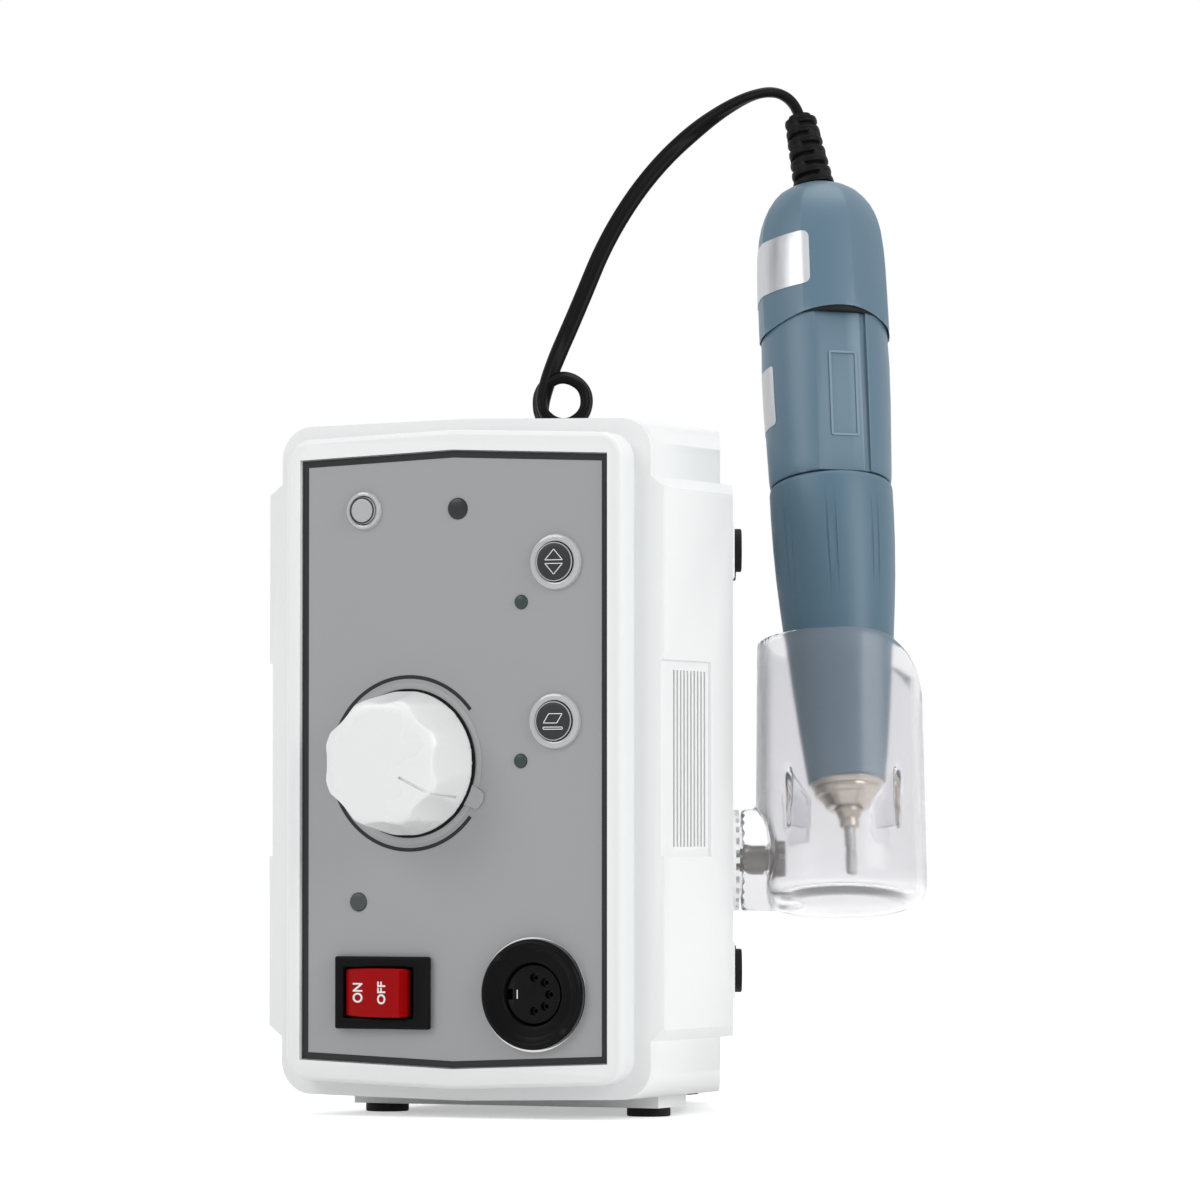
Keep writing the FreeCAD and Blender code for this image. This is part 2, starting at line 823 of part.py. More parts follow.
frame_screw_places = [
    (frame_screw_across, frame_screw_up),
    (-frame_screw_across, frame_screw_up),
    (frame_screw_across, -frame_screw_up),
    (-frame_screw_across, -frame_screw_up),
]
rear_screw_places = [
    (rear_screw_left, rear_screw_up),
    (rear_screw_right, rear_screw_up),
    (rear_screw_left, -rear_screw_up),
    (rear_screw_right, -rear_screw_up),
]
power_post_places = [
    (power_board_left + board_post_in, power_board_low + board_post_in),
    (power_board_right - board_post_in, power_board_low + board_post_in),
    (power_board_left + board_post_in, power_board_top - board_post_in),
    (power_board_right - board_post_in, power_board_top - board_post_in),
]
core_y = panel_front + core_front
tab_middle = core_y + core_thick / 2
tab_places = [core_left - strap_thick - strap_tab / 2, core_left + core_wide + strap_thick + strap_tab / 2]
foot_places = [
    (-foot_across, foot_front),
    (foot_across, foot_front),
    (-foot_across, foot_back),
    (foot_rear_right, foot_back),
]
side_foot_places = [
    (foot_first, foot_row),
    (foot_second, foot_row),
    (foot_first, -foot_row),
    (foot_second, -foot_row),
]
button_places = [
    (reset_across, panel_mid + reset_up, reset_round, reset_collar),
    (direction_across, panel_mid + direction_up, button_round, button_collar),
    (mode_across, panel_mid + mode_up, button_round, button_collar),
]
lamp_places = [
    (overload_across, panel_mid + overload_up, overload_round),
    (power_across, panel_mid + power_up, power_round),
    (turning_lamp_across, panel_mid + turning_lamp_up, lamp_round),
    (mode_lamp_across, panel_mid + mode_lamp_up, lamp_round),
]
knob_z = panel_mid + knob_up
socket_z = panel_mid + socket_up
switch_z = panel_mid + switch_up
plate_holes = [(x, z, r + run_gap * 2 + collar_wall + fit_gap / 2) for x, z, r, c in button_places]
plate_holes += [(x, z, r + run_gap) for x, z, r in lamp_places]
plate_holes += [(knob_across, knob_z, bushing_round + run_gap)]
plate_holes += [(socket_across, socket_z, socket_barrel + run_gap)]


def window(across, up, wide, high, grow=0):
    side = wide / 2 + grow
    rise = high / 2 + grow
    return [
        (across - side, up - rise),
        (across + side, up - rise),
        (across + side, up + rise),
        (across - side, up + rise),
    ]


def switch_hole():
    wide = switch_wide - switch_inset * 2
    high = switch_high - switch_inset * 2
    return window(switch_across, switch_z, wide, high, fit_gap / 2)


# Smaller sizes inside the pieces
power_back = panel_front + power_board_back + board_thick
inlet_lip = cell("inlet_lip", 1.6)
inlet_well = cell("inlet_well", 14)
inlet_wall = cell("inlet_wall", 2)
blade_wide = cell("blade_wide", 4)
blade_thick = cell("blade_thick", 2)
blade_step = cell("blade_step", 7)
blade_lift = cell("blade_lift", 2)
tact_floor = cell("tact_floor", 1)
lamp_soft = cell("lamp_soft", 0.3)
stem_in = cell("stem_in", 0.4)
cap_soft = cell("cap_soft", 0.5)
bushing_proud = cell("bushing_proud", 3)
shaft_in = cell("shaft_in", 6)
shaft_short = cell("shaft_short", 1)
hub_start = cell("hub_start", 3)
bush_round = cell("bush_round", 4.2)
knob_rim = cell("knob_rim", 1.4)
pointer_start = cell("pointer_start", 2.5)
rocker_gap = cell("rocker_gap", 0.5)
rocker_foot = cell("rocker_foot", 3)
rocker_deep = cell("rocker_deep", 6)
rocker_flat = cell("rocker_flat", 6)
rocker_top = cell("rocker_top", 2.6)
switch_well = cell("switch_well", 10)
socket_slope = cell("socket_slope", 0.9)
socket_land = cell("socket_land", 0.27)
socket_lip = cell("socket_lip", 1.2)
notch_long = cell("notch_long", 1.2)
contact_bore = cell("contact_bore", 0.5)
can_count = cell("can_count", 2)
can_in = can_round * 1.75
can_low = can_round * 2.25
can_step = can_round * 2.5
sink_base = cell("sink_base", 3)
sink_in = cell("sink_in", 2)
sink_low = cell("sink_low", 12)
round_lip = cell("round_lip", 1.5)
slot_deep = cell("slot_deep", 1)
half_tooth = cell("half_tooth", 3.4)
slot_wide = cell("slot_wide", 1.2)
nose_low_round = cell("nose_low_round", 5)
nose_mid = cell("nose_mid", 6.9)
nose_flange = cell("nose_flange", 3)
grip_swell_long = cell("grip_swell_long", 14)
grip_swell_up = grip_shoulder - grip_swell_long
grip_swell_round = cell("grip_swell_round", 13.1)
grip_land = cell("grip_land", 6)
grip_hollow = cell("grip_hollow", 8.6)
shadow_gap = cell("shadow_gap", 1)
flat_wide = cell("flat_wide", 12)
flat_across = cell("flat_across", 3)
flat_start = cell("flat_start", 2.9)
flat_low = joint_up + joint_gap + flat_start
flat_end = cell("flat_end", 4)
flat_high = cap_up - flat_end
carrier_wall = cell("carrier_wall", 3)
carrier_reach = cell("carrier_reach", 2)
magnet_over = cell("magnet_over", 2)
shaft_over = cell("shaft_over", 2)
carrier_gap = cell("carrier_gap", 0.6)
relief_step = cell("relief_step", 1)
relief_bore = cell("relief_bore", 2)
rib_share = cell("rib_share", 0.6)
relief_turn = hand_turn.multiply(Rotation(Vector(0, 1, 0), -relief_lean.value))
relief_foot = (hand_long + relief_step).value
relief_place = Placement(hand_place.multVec(Vector(0, 0, relief_foot)), relief_turn)
collet_taper = cell("collet_taper", 3.4)
shaft_start = cell("shaft_start", 0.4)
plug_neck = cell("plug_neck", 4.4)
plug_boot = cell("plug_boot", 12)
plug_skin = cell("plug_skin", 0.8)
plug_well = cell("plug_well", 6)
tie_gap = cell("tie_gap", 0.6)


# Front frame: bezel, flange, face plate, posts and screw bosses in one moulding
def make_front_frame():
    body = new_body()
    rim = panel_front - bezel_proud
    wide = peaked(box_wide, box_high, box_peak, panel_mid)
    pad(body, "XZ_Plane", flange_y, shell_y, wide)
    side = half_wide.value
    rounded(body, box_corner, lambda e: at_side(e, side))
    pad(body, "XZ_Plane", flange_y, shell_y, bulged())
    pad(body, "XZ_Plane", rim, flange_y, peaked(bezel_wide, bezel_high, bezel_peak, panel_mid))
    bezel_side = bezel_wide.value / 2
    rounded(body, bezel_corner, lambda e: at_side(e, bezel_side))
    rounded(body, bezel_round, lambda e: abs(e.CenterOfMass.y - rim.value) < 0.01)
    recess = peaked(panel_wide, panel_high, bezel_peak, panel_mid, -fit_gap / 2)
    pocket(body, "XZ_Plane", rim, plate_y, recess)
    hollow = peaked(bezel_wide, bezel_high, bezel_peak, panel_mid, bezel_wall)
    pocket(body, "XZ_Plane", plate_back, shell_y, hollow)
    inset = wall + fit_gap
    skirt = peaked(box_wide, box_high, box_peak, panel_mid, inset)
    pad(body, "XZ_Plane", shell_y, shell_y + skirt_long, skirt)
    lip_side = (half_wide - inset).value
    rounded(body, box_corner - wall, lambda e: at_side(e, lip_side))
    inside = peaked(box_wide, box_high, box_peak, panel_mid, inset + skirt_thick)
    pocket(body, "XZ_Plane", shell_y, shell_y + skirt_long, inside)
    pocket(body, "XZ_Plane", plate_back, shell_y, hollow)
    posts = [(x, panel_mid + z, post_round) for x, z in post_places]
    pad(body, "XZ_Plane", plate_back, board_y, None, posts)
    bosses = [(x, panel_mid + z, boss_round) for x, z in frame_screw_places]
    pad(body, "XZ_Plane", plate_back, frame_boss_y, None, bosses)
    pilots = [(x, panel_mid + z, slip_round) for x, z in post_places + frame_screw_places]
    pocket(body, "XZ_Plane", plate_back + screw_skin, board_y, None, pilots)
    pocket(body, "XZ_Plane", plate_y, plate_back, None, plate_holes)
    pocket(body, "XZ_Plane", plate_y, plate_back, switch_hole())
    far = half_wide + bulge
    for turn in (1, -1):
        middle = turn * (far - waist_step / 2)
        pocket(body, "XZ_Plane", flange_y, shell_y, window(middle, panel_mid, waist_step, waist_high))
    return keep(body, "front_frame")


def make_panel():
    body = new_body()
    pad(body, "XZ_Plane", panel_front, plate_y, peaked(panel_wide, panel_high, bezel_peak, panel_mid))
    pocket(body, "XZ_Plane", panel_front, plate_y, None, plate_holes)
    pocket(body, "XZ_Plane", panel_front, plate_y, switch_hole())
    return keep(body, "panel_overlay")


# Rear housing: an outer hull less an inner one, with vents, lugs and floor bosses
def square_on_slant(along, up, out_low, out_high, half):
    made = doc.addObject("Part::Box", "pad")
    bound(made, "Length", out_high - out_low)
    bound(made, "Width", half * 2)
    bound(made, "Height", half * 2)
    corner = on_slant((along - half).value, (up - half).value, sized(out_low).value)
    made.Placement = Placement(corner, slant_turn)
    return made


def rod_on_slant(along, up, radius, start, end):
    made = doc.addObject("Part::Cylinder", "rod")
    bound(made, "Radius", radius)
    bound(made, "Height", sized(end) - start)
    place = on_slant(along.value, up.value, sized(start).value)
    made.Placement = Placement(place, slant_turn.multiply(turn_to["X"]))
    return made


def lug(x, z, front):
    turn = 1 if z.value > 0 else -1
    far = panel_mid + turn * (box_high / 2 - wall / 2)
    near = panel_mid + z - turn * lug_inner
    half = lug_wide / 2
    return box(x - half, x + half, front, front + lug_thick, min_of(near, far), max_of(near, far))


def make_housing():
    shell = less(hull(0, shell_y, back_y), hull(wall, shell_y - 1, back_y + 1))
    low = panel_front + base_front
    high = panel_front + base_back
    plan = seen_from_above(half_wide, base_inset, low, high)
    added = [shell, extruded(plan, foot_high, box_bottom + 1, "Z")]
    added += [lug(x, z, frame_boss_y) for x, z in frame_screw_places]
    added += [lug(x, z, rear_plate_y - lug_thick) for x, z in rear_screw_places]
    for x in tab_places:
        added.append(rod("Z", post_round, box_bottom + 1, core_low, x, tab_middle))
    for along, up in side_foot_places:
        added.append(square_on_slant(along, up, sized(-1), pad_high, pad_wide / 2))
    cuts = []
    outer = half_wide + bulge
    low = panel_mid - waist_high / 2
    high = panel_mid + waist_high / 2
    waist_y = panel_front + waist_back
    cuts.append(box(outer - waist_step, outer + 1, shell_y - 1, waist_y, low, high))
    cuts.append(box(-outer - 1, -outer + waist_step, shell_y - 1, waist_y, low, high))
    for i in range(int(vent_count.value)):
        y = panel_front + vent_start + i * vent_step
        low = panel_mid - vent_high / 2
        high = panel_mid + vent_high / 2
        for x in (outer - bulge - wall, -outer - 1):
            cuts.append(box(x, x + bulge + wall + 1, y - vent_wide / 2, y + vent_wide / 2, low, high))
    for x, z in frame_screw_places:
        cuts.append(rod("Y", slip_round, frame_boss_y, lug_y, x, panel_mid + z))
    for x, z in rear_screw_places:
        cuts.append(rod("Y", slip_round, rear_plate_y - lug_thick, rear_plate_y, x, panel_mid + z))
    for x in tab_places:
        cuts.append(rod("Z", slip_round, box_bottom + wall, core_low, x, tab_middle))
    cuts.append(rod_on_slant(holder_along, holder_up, insert_bush + run_gap, -insert_deep - 1, 1))
    shell = less(fused(*added), *cuts)
    return keep(shell, "housing_shell")


def min_of(first, second):
    return first if first.value < second.value else second


def max_of(first, second):
    return first if first.value > second.value else second


def make_rear_panel():
    plate = hull(wall + fit_gap, rear_plate_y, rear_face)
    posts = [rod("Y", post_round, power_back, rear_plate_y + 1, x, z) for x, z in power_post_places]
    cuts = [rod("Y", slip_round, power_back, rear_plate_y, x, z) for x, z in power_post_places]
    for x, z in rear_screw_places:
        cuts.append(rod("Y", slip_round, rear_plate_y - 1, rear_face + 1, x, panel_mid + z))
    cuts.append(rod("Y", fuse_round + run_gap, rear_plate_y - 1, rear_face + 1, fuse_across, fuse_up))
    cuts.append(rod("Y", jack_round + run_gap, rear_plate_y - 1, rear_face + 1, jack_across, jack_up))
    side = inlet_wide / 2 - inlet_lip + run_gap
    rise = inlet_high / 2 - inlet_lip + run_gap
    cuts.append(at_inlet(side, rise, rear_plate_y - 1, rear_face + 1))
    return keep(less(fused(plate, *posts), *cuts), "rear_panel")


# Screws of one kind, driven forwards, backwards or down
def screw(way, seat, across, up, turn=1):
    if turn > 0:
        head = rod(way, screw_head, seat, seat + screw_head_high, across, up)
        return fused(head, rod(way, screw_round, seat - screw_long, seat, across, up))
    head = rod(way, screw_head, seat - screw_head_high, seat, across, up)
    return fused(head, rod(way, screw_round, seat, seat + screw_long, across, up))


def make_screws():
    made = [screw("Y", lug_y, x, panel_mid + z) for x, z in frame_screw_places]
    made += [screw("Y", rear_face, x, panel_mid + z) for x, z in rear_screw_places]
    keep(group(*made), "case_screws")
    made = [screw("Y", board_y + board_thick, x, panel_mid + z) for x, z in post_places]
    made += [screw("Y", power_back - board_thick, x, z, -1) for x, z in power_post_places]
    keep(group(*made), "board_screws")
    made = []
    for x in tab_places:
        seat = core_low + strap_thick
        head = rod("Z", screw_head, seat, seat + screw_head_high, x, tab_middle)
        made.append(fused(head, rod("Z", screw_round, box_bottom + wall, seat, x, tab_middle)))
    keep(group(*made), "bracket_screws")


def make_feet():
    made = [rod("Z", foot_round, 0, foot_high, x, panel_front + q) for x, q in foot_places]
    keep(group(*made), "bottom_feet")
    made = []
    for along, up in side_foot_places:
        made.append(rod_on_slant(along, up, foot_round, pad_high, pad_high + side_foot_high))
    keep(group(*made), "side_feet")


# Buttons, lamps and their board
def make_board():
    low = panel_mid + board_low
    high = panel_mid + board_top
    back = board_y + board_thick
    board = box(-board_wide / 2, board_wide / 2, board_y, back, low, high)
    holes = [rod("Y", slip_round, board_y - 1, back + 1, x, panel_mid + z) for x, z in post_places]
    keep(less(board, *holes), "control_board")
    switches = []
    for x, z, r, c in button_places:
        half = tact_wide / 2
        block = box(x - half, x + half, board_y - tact_high, board_y, z - half, z + half)
        hole = rod("Y", stem_round + run_gap, board_y - tact_high - 1, board_y - tact_floor, x, z)
        switches.append(less(block, hole))
    keep(group(*switches), "tact_switches")
    lamps = []
    for x, z, r in lamp_places:
        lamps.append(softened(rod("Y", r, panel_front - lamp_proud, board_y, x, z), lamp_soft, at_front))
    keep(group(*lamps), "indicator_lenses")


def at_front(edge):
    return edge.CenterOfMass.y < panel_front.value - 0.01 and edge.Curve.TypeId == "Part::GeomCircle"


def make_buttons():
    collars = []
    for x, z, r, c in button_places:
        flange = softened(rod("Y", c, panel_front - collar_proud, panel_front, x, z), cap_soft, at_front)
        sleeve = rod("Y", r + run_gap * 2 + collar_wall, panel_front, plate_back, x, z)
        bore = rod("Y", r + run_gap * 2, panel_front - collar_proud, plate_back, x, z)
        collars.append(less(fused(flange, sleeve), bore))
    keep(group(*collars), "button_collars")
    for label, place in zip(("reset_button", "direction_button", "mode_button"), button_places):
        x, z, r, c = place
        cap = softened(rod("Y", r, panel_front - button_proud, plate_back, x, z), cap_soft, at_front)
        lip = rod("Y", r + collar_wall, plate_back, plate_back + button_lip, x, z)
        stem = rod("Y", stem_round, plate_back, board_y - tact_high + stem_in, x, z)
        keep(fused(cap, lip, stem), label)


# Speed control: shaft, bush, fluted cap
def make_speed_control():
    barrel = rod("Y", pot_round, plate_back, plate_back + pot_deep, knob_across, knob_z)
    bushing = rod("Y", bushing_round, panel_front - bushing_proud, plate_back, knob_across, knob_z)
    end = plate_back + shaft_in + run_gap
    bore = rod("Y", shaft_round + run_gap, panel_front - bushing_proud, end, knob_across, knob_z)
    keep(less(fused(barrel, bushing), bore), "pot_body")
    nut = hexagon(nut_round, panel_front - nut_thick, panel_front, knob_across, knob_z)
    bore = rod("Y", bushing_round + run_gap, panel_front - nut_thick, panel_front, knob_across, knob_z)
    keep(less(nut, bore), "pot_nut")
    shaft_end = panel_front - knob_lift - knob_high + knob_wall + shaft_short
    shaft = rod("Y", shaft_round, shaft_end, plate_back + shaft_in, knob_across, knob_z)
    keep(shaft, "pot_shaft")
    place = on_panel(knob_across, knob_up, knob_lift.value)
    ceiling = knob_high - knob_wall
    outline = [
        (shaft_round + run_gap, hub_start),
        (bush_round, hub_start),
        (bush_round, ceiling),
        (shaft_round + run_gap, ceiling),
    ]
    turned_part(outline, "knob_insert", place)
    body = new_body()
    outline = [
        (bush_round + run_gap, hub_start),
        (knob_hub, hub_start),
        (knob_hub, ceiling),
        (knob_face - knob_wall, ceiling),
        (knob_base - knob_wall, 0),
        (knob_base, 0),
        (knob_base, knob_rim),
        (knob_face, knob_high),
        (0, knob_high),
        (0, ceiling),
        (bush_round + run_gap, ceiling),
    ]
    turned(body, outline)
    top = knob_high.value
    reach = knob_face.value - 0.1
    rounded(
        body,
        knob_round,
        lambda e: abs(e.CenterOfMass.z - top) < 0.01 and e.BoundBox.XLength > reach,
    )
    flute = body.newObject("PartDesign::SubtractiveCylinder", "flute")
    bound(flute, "Radius", flute_round)
    bound(flute, "Height", knob_high + flute_round / 2)
    away = knob_base + flute_round - flute_deep
    bound(flute, "Placement.Base.x", away)
    bound(flute, "Placement.Base.z", knob_rim)
    lean = math.degrees(math.atan((knob_base.value - knob_face.value) / (knob_high - knob_rim).value))
    flute.Placement.Rotation = Rotation(Vector(0, 1, 0), -lean)
    pattern = body.newObject("PartDesign::PolarPattern", "flutes")
    pattern.Originals = [flute]
    pattern.Axis = (origin(body, "Z_Axis"), [""])
    pattern.Angle = 360
    bound(pattern, "Occurrences", flute_count)
    body.Tip = pattern
    groove = body.newObject("PartDesign::SubtractiveBox", "pointer")
    bound(groove, "Length", knob_base)
    bound(groove, "Width", pointer_wide)
    bound(groove, "Height", pointer_deep * 2)
    turn = Rotation(Vector(0, 0, 1), -pointer_turn.value)
    start = turn.multVec(Vector(pointer_start.value, -pointer_wide.value / 2, 0))
    groove.Placement = Placement(start, turn)
    bound(groove, "Placement.Base.z", knob_high - pointer_deep)
    body.Placement = place
    keep(body, "knob")


# Mains switch: a black housing with a red rocker, rest with its left end pressed
def make_switch():
    body = new_body()
    wide = switch_wide - switch_inset * 2
    high = switch_high - switch_inset * 2
    front = panel_front - switch_proud
    back = panel_front + switch_deep
    pad(body, "XZ_Plane", panel_front, back, window(switch_across, switch_z, wide, high))
    pad(body, "XZ_Plane", front, panel_front, window(switch_across, switch_z, switch_wide, switch_high))
    reach = rocker_reach + rocker_gap
    well = window(switch_across, switch_z, reach * 2, rocker_high + run_gap * 2)
    pocket(body, "XZ_Plane", front, panel_front + switch_well, well)
    pivot_y = (panel_front + pivot_back).value
    pin_half = rocker_high / 2 + pivot_long + run_gap
    hole = body.newObject("PartDesign::SubtractiveCylinder", "pivot_holes")
    bound(hole, "Radius", pivot_round + run_gap)
    bound(hole, "Height", pin_half * 2)
    hole.Placement.Base = Vector(switch_across.value, pivot_y, (switch_z - pin_half).value)
    keep(body, "switch_housing")
    outline = [
        (-rocker_reach, 0),
        (-rocker_foot, -rocker_deep),
        (rocker_foot, -rocker_deep),
        (rocker_reach, 0),
        (rocker_flat, rocker_top),
        (-rocker_flat, rocker_top),
    ]
    body = new_body()
    turned_back = [(x, -(z + pivot_back)) for x, z in outline]
    pad(body, "XY_Plane", -rocker_high / 2, rocker_high / 2, turned_back)
    pin_half = rocker_high / 2 + pivot_long
    pivot = body.newObject("PartDesign::AdditiveCylinder", "pivots")
    bound(pivot, "Radius", pivot_round)
    bound(pivot, "Height", pin_half * 2)
    bound(pivot, "Placement.Base.z", -pin_half)
    spot = Vector(switch_across.value, pivot_y, switch_z.value)
    body.Placement = Placement(spot, Rotation(Vector(0, 0, 1), -rocker_tilt.value))
    keep(body, "rocker")


# Handpiece socket: a round shell with a five-pin insert
def pin_places():
    places = []
    for i in range(int(pin_count.value)):
        angle = (i - (pin_count - 1) / 2) * pin_step
        places.append((socket_across + pin_circle * cosine(angle), socket_z + pin_circle * sine(angle)))
    return places


def make_socket():
    place = on_panel(socket_across, socket_up)
    outline = [
        (socket_well, -socket_deep),
        (socket_barrel, -socket_deep),
        (socket_barrel, 0),
        (socket_ring, 0),
        (socket_ring, socket_proud - socket_slope),
        (socket_ring - socket_slope, socket_proud),
        (socket_ring - socket_slope - socket_land, socket_proud),
        (socket_ring - socket_slope * 2, socket_lip),
        (socket_well, socket_lip),
    ]
    turned_part(outline, "din_shell", place)
    ring = [
        (socket_barrel + run_gap, -(panel_thick + plate_thick + nut_thick)),
        (socket_ring, -(panel_thick + plate_thick + nut_thick)),
        (socket_ring, -(panel_thick + plate_thick)),
        (socket_barrel + run_gap, -(panel_thick + plate_thick)),
    ]
    turned_part(ring, "socket_nut", place)
    front = panel_front - socket_lip + insert_sink
    back = panel_front + socket_deep
    insert = fused(
        rod("Y", insert_round, front, back, socket_across, socket_z),
        rod("Y", socket_well - run_gap, back - insert_floor, back, socket_across, socket_z),
    )
    cuts = [rod("Y", pin_hole, front, back, x, z) for x, z in pin_places()]
    edge = socket_across - insert_round
    half = notch_wide / 2
    cuts.append(box(edge - 1, edge + notch_long, front, front + notch_deep, socket_z - half, socket_z + half))
    keep(less(insert, *cuts), "din_insert")
    contacts = []
    for x, z in pin_places():
        sleeve = rod("Y", contact_round, front + contact_sink, back + contact_tail, x, z)
        bore = rod("Y", contact_bore, front + contact_sink, back - insert_floor, x, z)
        contacts.append(less(sleeve, bore))
    keep(group(*contacts), "din_contacts")


# Power supply: transformer, its strap, and the board with its parts
def make_transformer():
    right = core_left + core_wide
    back = core_y + core_thick
    top = core_low + core_high
    core = box(core_left, right, core_y, back, core_low, top)
    windows = []
    for x in (core_left + core_leg, core_left + core_leg * 4):
        windows.append(box(x, x + core_leg, core_y - 1, back + 1, core_low + core_leg, top - core_leg))
    keep(less(core, *windows), "transformer_core")
    low = core_low + core_leg + winding_gap
    high = top - core_leg - winding_gap
    ring = box(
        core_left + core_leg + winding_gap,
        right - core_leg - winding_gap,
        core_y - winding_out,
        back + winding_out,
        low,
        high,
    )
    middle = box(
        core_left + core_leg * 2 - run_gap,
        right - core_leg * 2 + run_gap,
        core_y - run_gap,
        back + run_gap,
        low,
        high,
    )
    keep(less(ring, middle), "transformer_winding")
    near = tab_middle - strap_wide / 2
    far = tab_middle + strap_wide / 2
    strap = box(core_left - strap_thick, right + strap_thick, near, far, core_low, top + strap_thick)
    strap = less(strap, box(core_left, right, near, far, core_low, top))
    tabs = []
    for x in tab_places:
        tab = box(x - strap_tab / 2, x + strap_tab / 2, near, far, core_low, core_low + strap_thick)
        tabs.append(less(tab, rod("Z", slip_round, core_low, core_low + strap_thick, x, tab_middle)))
    keep(fused(strap, *tabs), "transformer_bracket")


def make_power_board():
    front = panel_front + power_board_back
    board = box(power_board_left, power_board_right, front, power_back, power_board_low, power_board_top)
    holes = [rod("Y", slip_round, front, power_back, x, z) for x, z in power_post_places]
    keep(less(board, *holes), "power_board")
    cans = []
    for i in range(int(can_count.value)):
        z = power_board_low + can_low + i * can_step
        cans.append(rod("Y", can_round, front - can_long, front, power_board_left + can_in, z))
    keep(group(*cans), "smoothing_capacitors")
    right = power_board_right - sink_in
    left = right - sink_wide
    low = power_board_low + sink_low
    blades = [box(left, right, front - sink_base, front, low, low + sink_high)]
    step = (sink_wide - fin_thick) / (fin_count - 1)
    for i in range(int(fin_count.value)):
        x = left + i * step
        blades.append(box(x, x + fin_thick, front - sink_deep, front - sink_base, low, low + sink_high))
    keep(fused(*blades), "heat_sink")


# Connectors on the back
def at_inlet(side, rise, front, back):
    return box(inlet_across - side, inlet_across + side, front, back, inlet_up - rise, inlet_up + rise)


def make_connectors():
    side = inlet_wide / 2
    rise = inlet_high / 2
    inner = side - inlet_lip
    inner_rise = rise - inlet_lip
    front = rear_face - inlet_deep
    out = rear_face + inlet_flange
    flange = at_inlet(side, rise, rear_face, out)
    core = at_inlet(inner, inner_rise, front, rear_face)
    well = at_inlet(inner - inlet_wall, inner_rise - inlet_wall, out - inlet_well, out)
    blades = []
    for i in (-1, 0, 1):
        x = inlet_across + i * blade_step
        z = inlet_up + blade_lift if i == 0 else inlet_up
        half = blade_thick / 2
        end = blade_wide / 2
        blades.append(box(x - half, x + half, out - inlet_well - 1, out - inlet_wall, z - end, z + end))
    keep(fused(less(fused(flange, core), well), *blades), "mains_inlet")
    cap = rod("Y", fuse_round + round_lip, rear_face, rear_face + inlet_flange, fuse_across, fuse_up)
    barrel = rod("Y", fuse_round, rear_face - fuse_long, rear_face, fuse_across, fuse_up)
    slot = box(
        fuse_across - fuse_round,
        fuse_across + fuse_round,
        rear_face + inlet_flange - slot_deep,
        rear_face + inlet_flange,
        fuse_up - slot_deep / 2,
        fuse_up + slot_deep / 2,
    )
    keep(less(fused(cap, barrel), slot), "fuse_holder")
    ring = rod("Y", jack_round + round_lip, rear_face, rear_face + inlet_flange, jack_across, jack_up)
    barrel = rod("Y", jack_round, rear_face - jack_long, rear_face, jack_across, jack_up)
    floor = rear_face - jack_long + inlet_wall
    bore = rod("Y", jack_bore, floor, rear_face + inlet_flange, jack_across, jack_up)
    keep(less(fused(ring, barrel), bore), "foot_jack")


# Tilting holder: toothed wall ring, clear cup with four ribs, clamp screw
def toothed(body, base, height, turn):
    outer = rosette_round * cosine(half_tooth)
    inner = rosette_hole
    tip = height * turn
    rise = sine(half_tooth)
    corners = [
        (-inner * rise, inner),
        (-rosette_round * rise, outer),
        (rosette_round * rise, outer),
        (inner * rise, inner),
    ]
    low, high = (base, base + tip) if turn > 0 else (base + tip, base)
    tooth = pad(body, "YZ_Plane", low, high, corners)
    pattern = body.newObject("PartDesign::PolarPattern", "teeth")
    pattern.Originals = [tooth]
    pattern.Axis = (origin(body, "X_Axis"), [""])
    pattern.Angle = 360
    bound(pattern, "Occurrences", tooth_count)
    body.Tip = pattern
    return pattern


def make_wall_ring():
    body = new_body()
    pad(body, "YZ_Plane", 0, rosette_thick, None, [(0, 0, rosette_round)])
    pocket(body, "YZ_Plane", 0, rosette_thick, None, [(0, 0, rosette_hole)])
    toothed(body, rosette_thick, tooth_high, 1)
    body.Placement = clamp_place
    keep(body, "rosette_ring")
    body = new_body()
    pad(body, "YZ_Plane", -insert_deep, 0, None, [(0, 0, insert_bush)])
    pocket(body, "YZ_Plane", -insert_deep, 0, None, [(0, 0, clamp_thread + run_gap)])
    body.Placement = clamp_place
    keep(body, "holder_insert")


def arc_middle(across, up, radius, angle):
    turn = Size(angle, "(%r)" % float(angle))
    return (across + radius * cosine(turn), up + radius * sine(turn))


